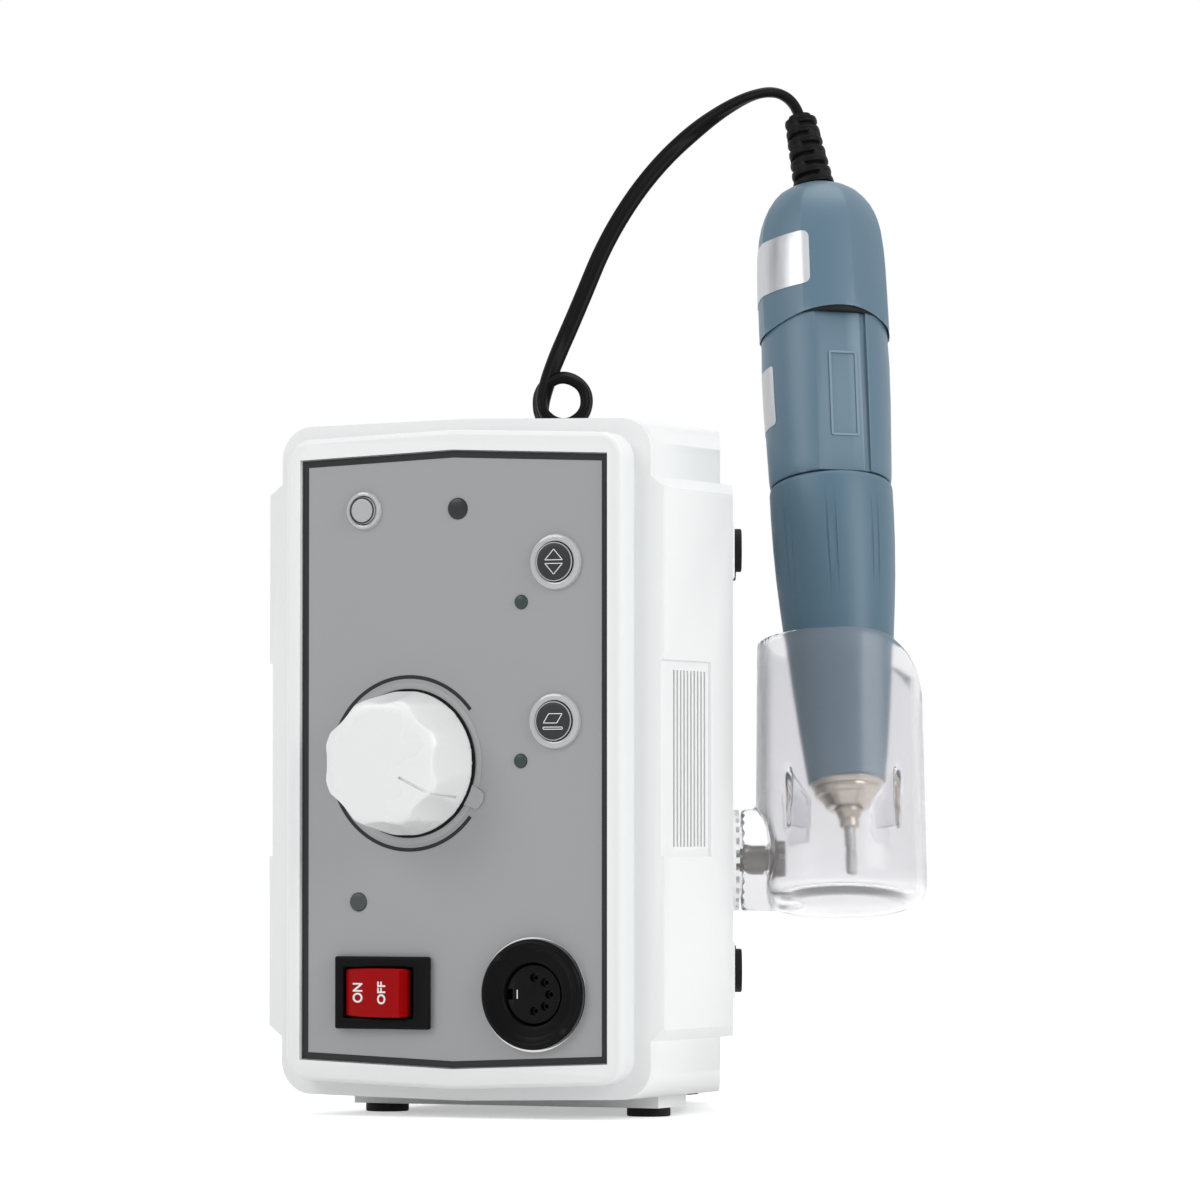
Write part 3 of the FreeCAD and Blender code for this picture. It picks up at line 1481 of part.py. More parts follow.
def make_cup():
    body = new_body()
    low = -cup_down
    base = cup_base - cup_round
    outer = [
        (0, low),
        (base, low, *arc_middle(base, low + cup_round, cup_round, -45)),
        (cup_base, low + cup_round),
        (cup_mouth, cup_up),
        (0, cup_up),
    ]
    turned(body, outer)
    stub_end = rosette_thick + tooth_high * 2 + tooth_gap - holder_reach
    pad(body, "YZ_Plane", stub_end, -cup_base / 2, None, [(0, 0, stub_round)])
    inner_round = cup_round - cup_wall
    floor = low + cup_floor
    inner = [
        (0, floor),
        (base, floor, *arc_middle(base, floor + inner_round, inner_round, -45)),
        (base + inner_round, floor + inner_round),
        (cup_mouth - cup_wall, cup_up),
        (0, cup_up),
    ]
    turned(body, inner, "PartDesign::Groove")
    pad(body, "YZ_Plane", -cup_base + cup_wall / 2, seat_out - holder_reach, None, [(0, 0, seat_round)])
    for angle in (45, 135, 225, 315):
        rib = body.newObject("Sketcher::SketchObject", "rib")
        rib.AttachmentSupport = [(origin(body, "XZ_Plane"), "")]
        rib.MapMode = "FlatFace"
        rib.AttachmentOffset = Placement(Vector(), Rotation(Vector(0, 1, 0), angle))
        far = cup_mouth - cup_wall / 2
        draw(rib, [(rib_inner, rib_low), (far, rib_low), (far, rib_top), (rib_inner, rib_knee)])
        made = body.newObject("PartDesign::Pad", "rib_pad")
        made.Profile = rib
        bound(made, "Length", rib_thick)
        made.SideType = "Symmetric"
    pocket(body, "YZ_Plane", stub_end, seat_out - holder_reach, None, [(0, 0, shoulder_round + run_gap)])
    toothed(body, stub_end, tooth_high, -1)
    cup_corner = cup_mouth - mouth_round
    reach = cup_mouth + 1
    corner_up = cup_up - mouth_round
    outline = [
        (reach, corner_up),
        (cup_mouth, corner_up, *arc_middle(cup_corner, corner_up, mouth_round, 45)),
        (cup_corner, cup_up),
        (cup_corner, cup_up + 1),
        (reach, cup_up + 1),
    ]
    pocket(body, "XZ_Plane", -cup_base, cup_base, outline)
    spot = holder_place.multVec(Vector(holder_reach.value, 0, 0))
    body.Placement = Placement(spot, tilt_turn)
    keep(body, "holder_cup")


def make_clamp():
    body = new_body()
    seat = seat_out + washer_thick
    pad(body, "YZ_Plane", 0, seat, None, [(0, 0, shoulder_round)])
    pad(body, "YZ_Plane", seat, seat + clamp_head_high, None, [(0, 0, clamp_head)])
    pad(body, "YZ_Plane", -insert_deep, 0, None, [(0, 0, clamp_thread)])
    half = slot_wide / 2
    slot = [(-clamp_head, -half), (clamp_head, -half), (clamp_head, half), (-clamp_head, half)]
    pocket(body, "YZ_Plane", seat + clamp_head_high - slot_deep, seat + clamp_head_high, slot)
    body.Placement = holder_place
    keep(body, "holder_screw")
    body = new_body()
    pad(body, "YZ_Plane", seat_out, seat, None, [(0, 0, washer_round)])
    pocket(body, "YZ_Plane", seat_out, seat, None, [(0, 0, shoulder_round + run_gap)])
    body.Placement = holder_place
    keep(body, "holder_washer")


# Handpiece: every piece is turned about the same leaning axis
def hand_part(corners, label):
    return turned_part(corners, label, hand_place)


def tube_outline(inner, outer, low, high):
    return [(inner, low), (outer, low), (outer, high), (inner, high)]


def make_handpiece():
    flange_low = joint_up + joint_gap
    flange_high = flange_low + nose_flange
    inner = body_low_round - body_wall
    outline = [
        (collet_round + fit_gap, nose_start),
        (nose_low_round, nose_start),
        (nose_round - touch_gap, nose_mid),
        (nose_round, nose_mid),
        (nose_rim, grip_start - run_gap),
        (nose_tube, grip_start - run_gap),
        (nose_tube, flange_low),
        (inner - run_gap, flange_low),
        (inner - run_gap, flange_high),
        (nose_bore + run_gap, flange_high),
        (nose_bore + run_gap, front_bearing_up),
        (collet_round + fit_gap, front_bearing_up),
    ]
    hand_part(outline, "nose_housing")
    bore = nose_tube + run_gap
    outline = [
        (bore, grip_start),
        (grip_low_round, grip_start),
        (grip_mid_round, grip_mid_up),
        (grip_swell_round, grip_swell_up),
        (grip_top_round, grip_shoulder),
        (grip_top_round, joint_up),
        (bore, joint_up),
        (bore, joint_up - grip_land),
        (grip_hollow, joint_up - grip_land),
        (grip_hollow, grip_start + grip_land * 2),
        (bore, grip_start + grip_land),
    ]
    hand_part(outline, "grip_sleeve")
    spigot = cap_round - cap_wall - fit_gap / 2
    body = new_body()
    outline = [
        (inner, flange_low),
        (body_low_round, flange_low),
        (body_top_round, cap_up - shadow_gap),
        (body_top_round - shadow_gap, cap_up - shadow_gap),
        (body_top_round - shadow_gap, cap_up),
        (spigot, cap_up),
        (spigot, cap_up + spigot_long),
        (inner, cap_up + spigot_long),
    ]
    turned(body, outline)
    flat = [
        (-flat_wide / 2 + flat_across, flat_low),
        (flat_wide / 2 + flat_across, flat_low),
        (flat_wide / 2 + flat_across, flat_high),
        (-flat_wide / 2 + flat_across, flat_high),
    ]
    pocket(body, "XZ_Plane", -body_top_round - 1, -body_flat, flat)
    body.Placement = hand_place
    keep(body, "motor_shell")
    top = sized(hand_long)
    outline = [
        (cap_round - cap_wall, cap_up),
        (cap_round, cap_up),
        (cap_mid_round, cap_mid_up),
        (cap_high_round, cap_high_up),
        (cap_top_round, top),
        (relief_low + run_gap, top),
        (relief_low + run_gap, top - cap_wall),
        (relief_low + relief_step + fit_gap, top - cap_wall),
        (cap_high_round - cap_wall, cap_high_up - cap_wall),
        (cap_mid_round - cap_wall, cap_mid_up),
        (cap_round - cap_wall, cap_up + spigot_long + fit_gap),
    ]
    hand_part(outline, "rear_cap")
    low = armature_low - magnet_over
    high = armature_low + armature_long + magnet_over
    ring = tube_outline(magnet_inner, magnet_inner + magnet_thick, low, high)
    hand_part(ring, "stator_magnets")
    make_brushes()
    races = []
    for up in (front_bearing_up, middle_bearing_up, rear_bearing_up):
        body = new_body()
        turned(body, tube_outline(spindle_round + run_gap, bearing_round, up, up + bearing_thick))
        body.Placement = hand_place
        races.append(body)
    keep(group(*races), "bearings")
    make_relief()


def make_brushes():
    body = new_body()
    low = commutator_up - carrier_reach
    high = rear_bearing_up + bearing_thick
    outer = body_low_round - body_wall - run_gap
    outline = [
        (commutator_round + carrier_gap, low),
        (outer, low),
        (outer, cap_up + spigot_long),
        (bearing_round + carrier_wall, cap_up + spigot_long),
        (bearing_round + carrier_wall, high),
        (bearing_round + run_gap, high),
        (bearing_round + run_gap, rear_bearing_up),
        (spindle_round + fit_gap, rear_bearing_up),
        (spindle_round + fit_gap, rear_bearing_up - carrier_wall),
        (commutator_round + carrier_gap, rear_bearing_up - carrier_wall),
    ]
    turned(body, outline)
    middle = commutator_up + commutator_long / 2
    half = brush_wide / 2 + run_gap
    square = [(-half, middle - half), (half, middle - half), (half, middle + half), (-half, middle + half)]
    pocket(body, "YZ_Plane", -outer, outer, square)
    body.Placement = hand_place
    keep(body, "brush_holders")
    blocks = []
    for turn in (1, -1):
        near = commutator_round + run_gap
        block = doc.addObject("Part::Box", "brush")
        bound(block, "Length", brush_long)
        bound(block, "Width", brush_wide)
        bound(block, "Height", brush_wide)
        x = near.value if turn > 0 else -(near + brush_long).value
        corner = Vector(x, -brush_wide.value / 2, (middle - brush_wide / 2).value)
        block.Placement = Placement(hand_place.multVec(corner), hand_turn)
        blocks.append(block)
    keep(group(*blocks), "carbon_brushes")


def make_relief():
    collar = new_body()
    low = hand_long - cap_wall - relief_step
    ring = [
        (relief_bore, low),
        (relief_low + relief_step, low),
        (relief_low + relief_step, hand_long - cap_wall - run_gap),
        (relief_low, hand_long - cap_wall - run_gap),
        (relief_low, hand_long + relief_step),
        (relief_bore, hand_long + relief_step),
    ]
    turned(collar, ring)
    collar.Placement = hand_place
    ribbed = new_body()
    outline = [(0, 0)]
    pitch = relief_long / relief_ribs
    taper = (relief_low - relief_top) / relief_long
    for i in range(int(relief_ribs.value)):
        low = i * pitch
        outer = relief_low - low * taper
        outline += [
            (outer, low),
            (outer, low + pitch * rib_share),
            (outer - relief_groove, low + pitch * rib_share),
            (outer - relief_groove, low + pitch),
        ]
    outline += [(0, relief_long)]
    turned(ribbed, outline)
    ribbed.Placement = relief_place
    keep(fused(collar, ribbed), "strain_relief")


def make_spindle():
    low = collet_long + shaft_start
    outline = [
        (bur_round + run_gap, low),
        (spindle_round, low),
        (spindle_round, rear_bearing_up + bearing_thick + shaft_over),
        (0, rear_bearing_up + bearing_thick + shaft_over),
        (0, bur_in + run_gap),
        (bur_round + run_gap, bur_in + run_gap),
    ]
    hand_part(outline, "spindle_shaft")
    outline = [
        (bur_round + run_gap, 0),
        (nut_end_round, 0),
        (collet_round, collet_taper),
        (collet_round, front_bearing_up - fit_gap),
        (spindle_round + run_gap, front_bearing_up - fit_gap),
        (spindle_round + run_gap, low),
        (bur_round + run_gap, low),
    ]
    hand_part(outline, "collet_nut")
    tip = bur_round / 2
    outline = [
        (0, -bur_out),
        (tip, -bur_out),
        (bur_round, -bur_out + tip),
        (bur_round, bur_in),
        (0, bur_in),
    ]
    hand_part(outline, "bur")
    bore = spindle_round + run_gap
    high = armature_low + armature_long
    hand_part(tube_outline(bore, armature_round, armature_low, high), "armature")
    high = commutator_up + commutator_long
    hand_part(tube_outline(bore, commutator_round, commutator_up, high), "commutator")


# The cord: straight runs joined by arcs, as large as their two runs allow
lid = box_top.value
rear = back_y.value
loop_middle = Vector(-2.7, 0, lid + 8)
loop_reach = cell("loop_reach", 6)
loop_step = cell("loop_step", 0.85)
view_turn = Rotation(Vector(0, 0, 1), 26)
relief_end = relief_place.multVec(Vector(0, 0, relief_long.value))
relief_way = relief_turn.multVec(Vector(0, 0, 1))
coil_low = tie_thick + touch_gap + cord_round
arch_points = [
    relief_end,
    relief_end + relief_way * 5.2,
    relief_end + Vector(-6.5, -5.16, 7.44),
    relief_end + Vector(-15.4, -14.56, 0.64),
    relief_end + Vector(-24.6, -25.56, -11.56),
]
fall_points = [
    relief_end + Vector(-31.3, -35.56, -27.26),
    Vector(-2.8, 8, lid + 28.8),
    Vector(-6.3, 0.6, lid + 14.1),
]
back_points = [
    Vector(-8.9, 6.6, lid + 3),
    Vector(-12.5, 18.5, lid + 2.6),
    Vector(-16, rear - 10, lid + 2.8),
    Vector(-21, rear + 6, lid + 4.1),
    Vector(-24, rear + 7.4, lid - 12.7),
    Vector(-26, rear + 6.2, lid - 36.7),
    Vector(-29.5, rear + 6.4, lid - 66.7),
    Vector(-43, rear + 7, lid - 96.7),
    Vector(-54, rear + 8, 24),
    Vector(-52, rear + 8.6, 8.5),
    Vector(-42.5, rear + 8.8, coil_low.value),
]


def loop_points():
    points = []
    for i in range(7):
        angle = math.radians(210 + 60 * i)
        across = math.cos(angle) * loop_reach.value
        up = math.sin(angle) * loop_reach.value
        points.append(loop_middle + view_turn.multVec(Vector(across, (i - 3) * loop_step.value, up)))
    return points


def cord_path(points):
    edges = []
    radii = []
    start = points[0]
    for i in range(1, len(points) - 1):
        spot = points[i]
        before = points[i - 1] - spot
        after = points[i + 1] - spot
        short = min(before.Length, after.Length)
        before.normalize()
        after.normalize()
        half_turn = (math.pi - before.getAngle(after)) / 2
        reach = 0.45 * short
        radius = reach / math.tan(half_turn)
        inward = (before + after).normalize()
        first = spot + before * reach
        last = spot + after * reach
        middle = spot + inward * (radius / math.cos(half_turn) - radius)
        edges.append(Part.LineSegment(start, first).toShape())
        edges.append(Part.Arc(first, middle, last).toShape())
        radii.append(round(radius, 1))
        start = last
    edges.append(Part.LineSegment(start, points[-1]).toShape())
    return Part.Wire(edges), radii


def sweep(path, label):
    radius = doc.getObject("dims").get("cord_round")
    edge = path.Edges[0]
    way = edge.tangentAt(edge.FirstParameter)
    ring = Part.Wire(Part.makeCircle(radius, edge.valueAt(edge.FirstParameter), way))
    solid = path.makePipeShell([ring], True, False)
    made = doc.addObject("Part::Feature", "tube")
    made.Shape = solid
    share = solid.Volume / (math.pi * radius ** 2 * path.Length)
    print("%s: length %.1f mm, volume against section %.4f" % (label, path.Length, share))
    return keep(made, label)


def make_cords():
    split = (arch_points[-1] + fall_points[0]) * 0.5
    path, radii = cord_path(arch_points + [split])
    print("cord_arch radii", radii)
    sweep(path, "cord_arch")
    coil_start = Vector(coil_across.value, coil_back.value - coil_round(0), coil_low.value)
    path, radii = cord_path([split] + fall_points + loop_points() + back_points + [coil_start])
    print("cord_run radii", radii)
    sweep(path, "cord_run")
    make_coil()


# The put-away coil: in along the bottom layer, up in half a turn, out along the top
def coil_round(turn):
    outer = coil_mean.value + coil_pitch.value
    inward = min(turn, coil_turns.value + 0.25)
    outward = max(turn - coil_turns.value - 0.25, 0)
    return outer - coil_pitch.value * (inward - outward)


def coil_spot(turn):
    angle = math.radians(360 * turn - 90)
    reach = coil_round(turn)
    climb = min(max((turn - coil_turns.value) * 2, 0), 1)
    climb = climb * climb * (3 - 2 * climb)
    across = coil_across.value + reach * math.cos(angle)
    back = coil_back.value + reach * math.sin(angle)
    return Vector(across, back, coil_low.value + coil_pitch.value * climb)


def coil_way(turn):
    step = 0.001
    return (coil_spot(turn + step) - coil_spot(turn - step)).normalize()


def biarc(first, first_way, last, last_way):
    reach = last - first
    both = first_way + last_way
    along = reach.dot(both)
    share = 2 * (1 - first_way.dot(last_way))
    size = (math.sqrt(along ** 2 + share * reach.dot(reach)) - along) / share
    middle = (first + last + (first_way - last_way) * size) * 0.5
    arcs = []
    for start, end, way in ((first, middle, first_way), (middle, last, None)):
        if way is None:
            way = (middle - first - first_way * size).normalize()
        chord = end - start
        side = chord - way * chord.dot(way)
        radius = chord.dot(chord) / (2 * side.Length)
        centre = start + side.normalize() * radius
        to_middle = (start + end) * 0.5 - centre
        arcs.append(Part.Arc(start, centre + to_middle.normalize() * radius, end).toShape())
    return arcs


def make_coil():
    total = coil_turns.value * 2 + 0.5
    count = int(round(total * 4))
    turns = [total * i / count for i in range(count + 1)]
    spots = [coil_spot(turn) for turn in turns]
    ways = [coil_way(turn) for turn in turns]
    ways[0] = Vector(1, 0, 0)
    ways[-1] = Vector(-1, 0, 0)
    edges = []
    for i in range(count):
        edges += biarc(spots[i], ways[i], spots[i + 1], ways[i + 1])
    edges.append(Part.LineSegment(spots[-1], plug_face).toShape())
    path = Part.Wire(edges)
    sweep(path, "cord_coil")
    print("coil least gap %.2f mm" % least_gap(path))


def least_gap(path):
    dots = path.discretize(Distance=1.5)
    length = path.Length
    step = length / (len(dots) - 1)
    apart = int(8 * cord_round.value / step)
    least = length
    for i, dot in enumerate(dots):
        for other in dots[i + apart:]:
            least = min(least, dot.distanceToPoint(other))
    return least - 2 * cord_round.value


coil_end = coil_spot(coil_turns.value * 2 + 0.5)
plug_face = coil_end + Vector(-2 * cord_round.value, 0, 0)


def make_plug():
    outline = [
        (0, 0),
        (relief_top, 0),
        (plug_neck, plug_boot),
        (plug_grip, plug_boot),
        (plug_grip, plug_long),
        (plug_round, plug_long),
        (plug_round, plug_long + plug_nose),
        (plug_round - plug_skin, plug_long + plug_nose),
        (plug_round - plug_skin, plug_long + plug_well),
        (0, plug_long + plug_well),
    ]
    turned_part(outline, "cord_plug", Placement(plug_face, Rotation(Vector(0, 1, 0), -90)))
    inner = coil_mean + coil_pitch - coil_pitch * coil_turns - cord_round - tie_gap
    outer = coil_mean + coil_pitch + cord_round + tie_gap
    high = tie_thick + touch_gap * 2 + cord_round * 2 + coil_pitch
    low_y = coil_back - tie_wide / 2
    high_y = coil_back + tie_wide / 2
    x_in = coil_across + inner
    x_out = coil_across + outer
    band = box(x_in - tie_thick, x_out + tie_thick, low_y, high_y, 0, high + tie_thick)
    keep(less(band, box(x_in, x_out, low_y, high_y, tie_thick, high)), "cord_tie")


make_front_frame()
make_panel()
make_housing()
make_rear_panel()
make_screws()
make_feet()
make_board()
make_buttons()
make_speed_control()
make_switch()
make_socket()
make_transformer()
make_power_board()
make_connectors()
make_wall_ring()
make_cup()
make_clamp()
make_handpiece()
make_spindle()
make_cords()
make_plug()
doc.recompute()

for thing in doc.Objects:
    if "Invalid" in thing.State or "Error" in thing.State:
        raise SystemExit("%s failed: %s" % (thing.Name, thing.State))
os.makedirs("parts", exist_ok=True)
for thing in part_list:
    shape = thing.Shape
    if shape.isNull() or not shape.isValid():
        raise SystemExit("%s has no valid shape" % thing.Label)
    shape.exportStep("parts/%s.step" % thing.Label)
    box_now = shape.BoundBox
    print("%-22s %d solids %9.1f mm3" % (thing.Label, len(shape.Solids), shape.Volume), box_now)
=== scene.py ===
import math

import bmesh
import bpy
from mathutils import Matrix, Vector


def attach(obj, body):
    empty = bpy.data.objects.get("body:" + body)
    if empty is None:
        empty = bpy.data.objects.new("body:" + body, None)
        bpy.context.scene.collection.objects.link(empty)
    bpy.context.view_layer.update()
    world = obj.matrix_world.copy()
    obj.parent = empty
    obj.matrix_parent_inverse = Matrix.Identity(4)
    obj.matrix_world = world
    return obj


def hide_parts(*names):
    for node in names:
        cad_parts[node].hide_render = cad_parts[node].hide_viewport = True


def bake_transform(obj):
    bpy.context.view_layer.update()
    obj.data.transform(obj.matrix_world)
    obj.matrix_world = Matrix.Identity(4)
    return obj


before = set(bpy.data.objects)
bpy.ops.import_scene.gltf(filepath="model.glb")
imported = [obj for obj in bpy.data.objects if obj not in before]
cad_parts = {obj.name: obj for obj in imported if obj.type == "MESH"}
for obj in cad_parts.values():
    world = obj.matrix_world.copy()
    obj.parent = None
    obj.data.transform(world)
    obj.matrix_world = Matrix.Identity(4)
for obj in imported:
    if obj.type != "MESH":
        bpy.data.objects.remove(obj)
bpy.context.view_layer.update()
mm = 0.001
white = (1, 1, 1, 1)
print("frame loaded:", len(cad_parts), "nodes")

scene = bpy.context.scene
scene.view_settings.view_transform = "Standard"

# camera, floor and lights
view = {
    "place": (0.6006, -1.2913, 0.0608), "turn": 24.715, "lift": 2.02,
    "lens": 195.2, "sensor": 36, "near": 0.05,
}
bpy.ops.object.camera_add(
    location=view["place"],
    rotation=(math.radians(90 + view["lift"]), 0, math.radians(view["turn"])),
)
camera = bpy.context.object
camera.data.lens = view["lens"]
camera.data.sensor_width = view["sensor"]
camera.data.clip_start = view["near"]
scene.camera = camera

studio = {
    "room": 0.50,
    "table": 8,
    "paper": (0.93, 0.93, 0.93, 1),
    "fade": (0.22, 0.60),
    "glow": 0.42,
    "lamps": [
        ("keyLamp", (-0.75, -1.15, 0.95), (0, 0, 0.08), 0.9, 6.5),
        ("sideLamp", (1.30, -0.35, 0.70), (0, 0, 0.10), 0.8, 7.5),
        ("topLamp", (0.10, 0.25, 1.30), (0, 0, 0.10), 0.9, 5.0),
    ],
}
for name, place, aim, size, power in studio["lamps"]:
    bpy.ops.object.light_add(type="AREA", location=place)
    lamp = bpy.context.object
    lamp.name = name
    lamp.data.shape = "DISK"
    lamp.data.size = size
    lamp.data.energy = power
    lamp.rotation_euler = (Vector(aim) - Vector(place)).to_track_quat("-Z", "Y").to_euler()


def setAll(thing, values):
    for name, value in values.items():
        setattr(thing, name, value)


# a shader node with its settings, and each input linked or set
def addNode(tree, kind, links=(), **values):
    node = tree.nodes.new(kind)
    setAll(node, values)
    for socket, source in links:
        if isinstance(source, bpy.types.NodeSocket):
            tree.links.new(source, node.inputs[socket])
        else:
            node.inputs[socket].default_value = source
    return node


def addMath(tree, operation, first, second, clamp=False):
    node = addNode(tree, "ShaderNodeMath", [(0, first), (1, second)], operation=operation, use_clamp=clamp)
    return node.outputs[0]


# camera, clear plastic and polished metal all see a white room
def whiteRays(tree):
    ray = addNode(tree, "ShaderNodeLightPath").outputs
    seen = addMath(tree, "MAXIMUM", ray["Is Camera Ray"], ray["Is Transmission Ray"])
    return addMath(tree, "MAXIMUM", seen, ray["Is Glossy Ray"])


world = bpy.data.worlds.new("whiteRoom")
scene.world = world
world.use_nodes = True
tree = world.node_tree
tree.nodes.clear()
dim = addNode(tree, "ShaderNodeBackground", [("Color", white), ("Strength", studio["room"])])
bright = addNode(tree, "ShaderNodeBackground", [("Color", white)])
rays = whiteRays(tree)
mixed = addNode(tree, "ShaderNodeMixShader", [("Fac", rays), (1, dim.outputs[0]), (2, bright.outputs[0])])
addNode(tree, "ShaderNodeOutputWorld", [("Surface", mixed.outputs[0])])

bpy.ops.mesh.primitive_plane_add(size=studio["table"], location=(0, 0, 0))
floor = bpy.context.object
floor.name = "tableTop"
paper = bpy.data.materials.new("whiteTable")
paper.use_nodes = True
tree = paper.node_tree
shader = tree.nodes["Principled BSDF"]
shader.inputs["Roughness"].default_value = 0.9
shader.inputs["Emission Color"].default_value = white
rays = whiteRays(tree)
spot = addNode(tree, "ShaderNodeTexCoord").outputs["Object"]
reach = addNode(tree, "ShaderNodeVectorMath", [(0, spot)], operation="LENGTH").outputs["Value"]
fade = [("Value", reach), ("From Min", studio["fade"][0]), ("From Max", studio["fade"][1])]
far = addNode(tree, "ShaderNodeMapRange", fade, interpolation_type="SMOOTHSTEP").outputs["Result"]
away = addMath(tree, "MULTIPLY", far, rays)
colours = [("Factor", away), (6, studio["paper"]), (7, (0, 0, 0, 1))]
paint = addNode(tree, "ShaderNodeMix", colours, data_type="RGBA")
glow = addNode(tree, "ShaderNodeMapRange", [("Value", far), ("To Min", studio["glow"]), ("To Max", 1.0)])
lit = addMath(tree, "MULTIPLY", glow.outputs["Result"], rays)
tree.links.new(paint.outputs[2], shader.inputs["Base Color"])
tree.links.new(lit, shader.inputs["Emission Strength"])
floor.data.materials.append(paper)
print("camera and light ready")


# shared ways of working
def leaveAll():
    if bpy.context.object and bpy.context.object.mode != "OBJECT":
        bpy.ops.object.mode_set(mode="OBJECT")
    bpy.ops.object.select_all(action="DESELECT")


def pick(piece):
    leaveAll()
    piece.select_set(True)
    bpy.context.view_layer.objects.active = piece


def editAll(piece):
    pick(piece)
    bpy.context.tool_settings.mesh_select_mode = (True, False, False)
    bpy.ops.object.mode_set(mode="EDIT")
    bpy.ops.mesh.select_all(action="SELECT")


# turns every normal outward and leaves edit mode
def closeUp():
    bpy.ops.mesh.select_all(action="SELECT")
    bpy.ops.mesh.normals_make_consistent(inside=False)
    bpy.ops.object.mode_set(mode="OBJECT")


def chooseFaces(piece, wanted):
    pick(piece)
    for part in (*piece.data.edges, *piece.data.vertices):
        part.select = False
    bpy.context.tool_settings.mesh_select_mode = (False, False, True)
    for face in piece.data.polygons:
        face.select = wanted(face)
    bpy.ops.object.mode_set(mode="EDIT")


def pushUp(high):
    bpy.ops.mesh.extrude_region_move(TRANSFORM_OT_translate={"value": (0, 0, high * mm)})


def moveBy(across, back, up):
    return Matrix.Translation((across * mm, back * mm, up * mm))


def turnBy(degrees, axis):
    return Matrix.Rotation(math.radians(degrees), 4, axis)


def settle(piece, place=None):
    pick(piece)
    if place is not None:
        piece.matrix_world = place @ piece.matrix_world
    bpy.ops.object.transform_apply(location=True, rotation=True, scale=True)
    return piece


def named(name):
    piece = bpy.context.object
    piece.name = name
    return piece


# rings are (height, radius) pairs up the piece's axis, in millimetres
def turnedPiece(name, rings, count=96, ends=True):
    height, reach = rings[0]
    bpy.ops.mesh.primitive_circle_add(vertices=count, radius=reach * mm, location=(0, 0, height * mm))
    piece = settle(named(name))
    editAll(piece)
    for nextHeight, nextReach in rings[1:]:
        pushUp(nextHeight - height)
        size = nextReach / reach
        if abs(size - 1) > 1e-6:
            bpy.ops.transform.resize(value=(size, size, 1), center_override=(0, 0, nextHeight * mm))
        height, reach = nextHeight, nextReach
    bpy.ops.mesh.select_all(action="DESELECT")
    bpy.ops.mesh.select_non_manifold()
    if ends:
        bpy.ops.mesh.fill_holes(sides=0)
    else:
        bpy.ops.mesh.bridge_edge_loops()
    closeUp()
    return piece


def block(name, low, high):
    middle = [(a + b) / 2 * mm for a, b in zip(low, high)]
    bpy.ops.mesh.primitive_cube_add(size=1, location=middle)
    piece = named(name)
    piece.scale = [(b - a) * mm for a, b in zip(low, high)]
    return settle(piece)


def rod(reach, long, count):
    bpy.ops.mesh.primitive_cylinder_add(vertices=count, radius=reach * mm, depth=long * mm)
    return bpy.context.object


def reshape(piece, kind, **values):
    pick(piece)
    modifier = piece.modifiers.new("reshape", kind)
    setAll(modifier, values)
    bpy.ops.object.modifier_apply(modifier=modifier.name)


def cutWith(piece, tool):
    reshape(piece, "BOOLEAN", operation="DIFFERENCE", solver="EXACT", object=tool)
    bpy.data.objects.remove(tool)


def soften(piece, width, segments=3, angle=30):
    turn = math.radians(angle)
    reshape(piece, "BEVEL", width=width * mm, segments=segments, limit_method="ANGLE", angle_limit=turn)


# one skin over the whole piece, smoothed like a cast part
def castSkin(piece, grain, rounds):
    reshape(piece, "REMESH", mode="VOXEL", voxel_size=grain * mm)
    reshape(piece, "SMOOTH", factor=0.5, iterations=rounds)


def smoothOut(piece, angle=35):
    pick(piece)
    bpy.ops.object.shade_smooth_by_angle(angle=math.radians(angle))


def evenShading(piece, angle=35):
    smoothOut(piece, angle)
    reshape(piece, "WEIGHTED_NORMAL", keep_sharp=True)


def merged(piece, gap=0.001):
    editAll(piece)
    bpy.ops.mesh.remove_doubles(threshold=gap * mm)
    closeUp()


def joinUp(name, pieces):
    leaveAll()
    for piece in pieces:
        piece.select_set(True)
    bpy.context.view_layer.objects.active = pieces[0]
    bpy.ops.object.join()
    return named(name)


# sets a piece in its place, smooths it, and gives it a body, a finish and the solids that it stands for
def dress(piece, body, finish, nodes=(), place=None, smooth=None):
    if place is not None:
        settle(piece, place)
    if smooth:
        smoothOut(piece, smooth)
    piece.data.materials.clear()
    piece.data.materials.append(finishes[finish])
    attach(piece, body)
    if nodes:
        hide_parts(*nodes)
    return piece


# shader groups: what more than one finish uses
def startGroup(name, inputs, outputs):
    group = bpy.data.node_groups.new(name, "ShaderNodeTree")
    for way, sockets in (("INPUT", inputs), ("OUTPUT", outputs)):
        for label, kind in sockets.items():
            group.interface.new_socket(label, in_out=way, socket_type="NodeSocket" + kind)
    return group, group.nodes.new("NodeGroupInput").outputs, group.nodes.new("NodeGroupOutput").inputs


def addNoise(tree, vector, scale, detail):
    links = [("Vector", vector), ("Scale", scale), ("Detail", detail)]
    return addNode(tree, "ShaderNodeTexNoise", links).outputs["Fac"]


# a noise moves the colour's tone and the roughness about their middle values
def endSkin(group, start, end, noise, height):
    around = addMath(group, "SUBTRACT", noise, 0.5)
    level = addMath(group, "ADD", addMath(group, "MULTIPLY", around, start["Tone"]), 1.0)
    shade = addNode(group, "ShaderNodeVectorMath", [(0, start["Color"]), ("Scale", level)], operation="SCALE")
    swing = addMath(group, "MULTIPLY", around, start["Spread"])
    rough = addMath(group, "ADD", swing, start["Rough"], clamp=True)
    for label, source in (("Color", shade.outputs[0]), ("Roughness", rough), ("Height", height)):
        group.links.new(source, end[label])
    return group


skinOutputs = {"Color": "Color", "Roughness": "Float", "Height": "Float"}


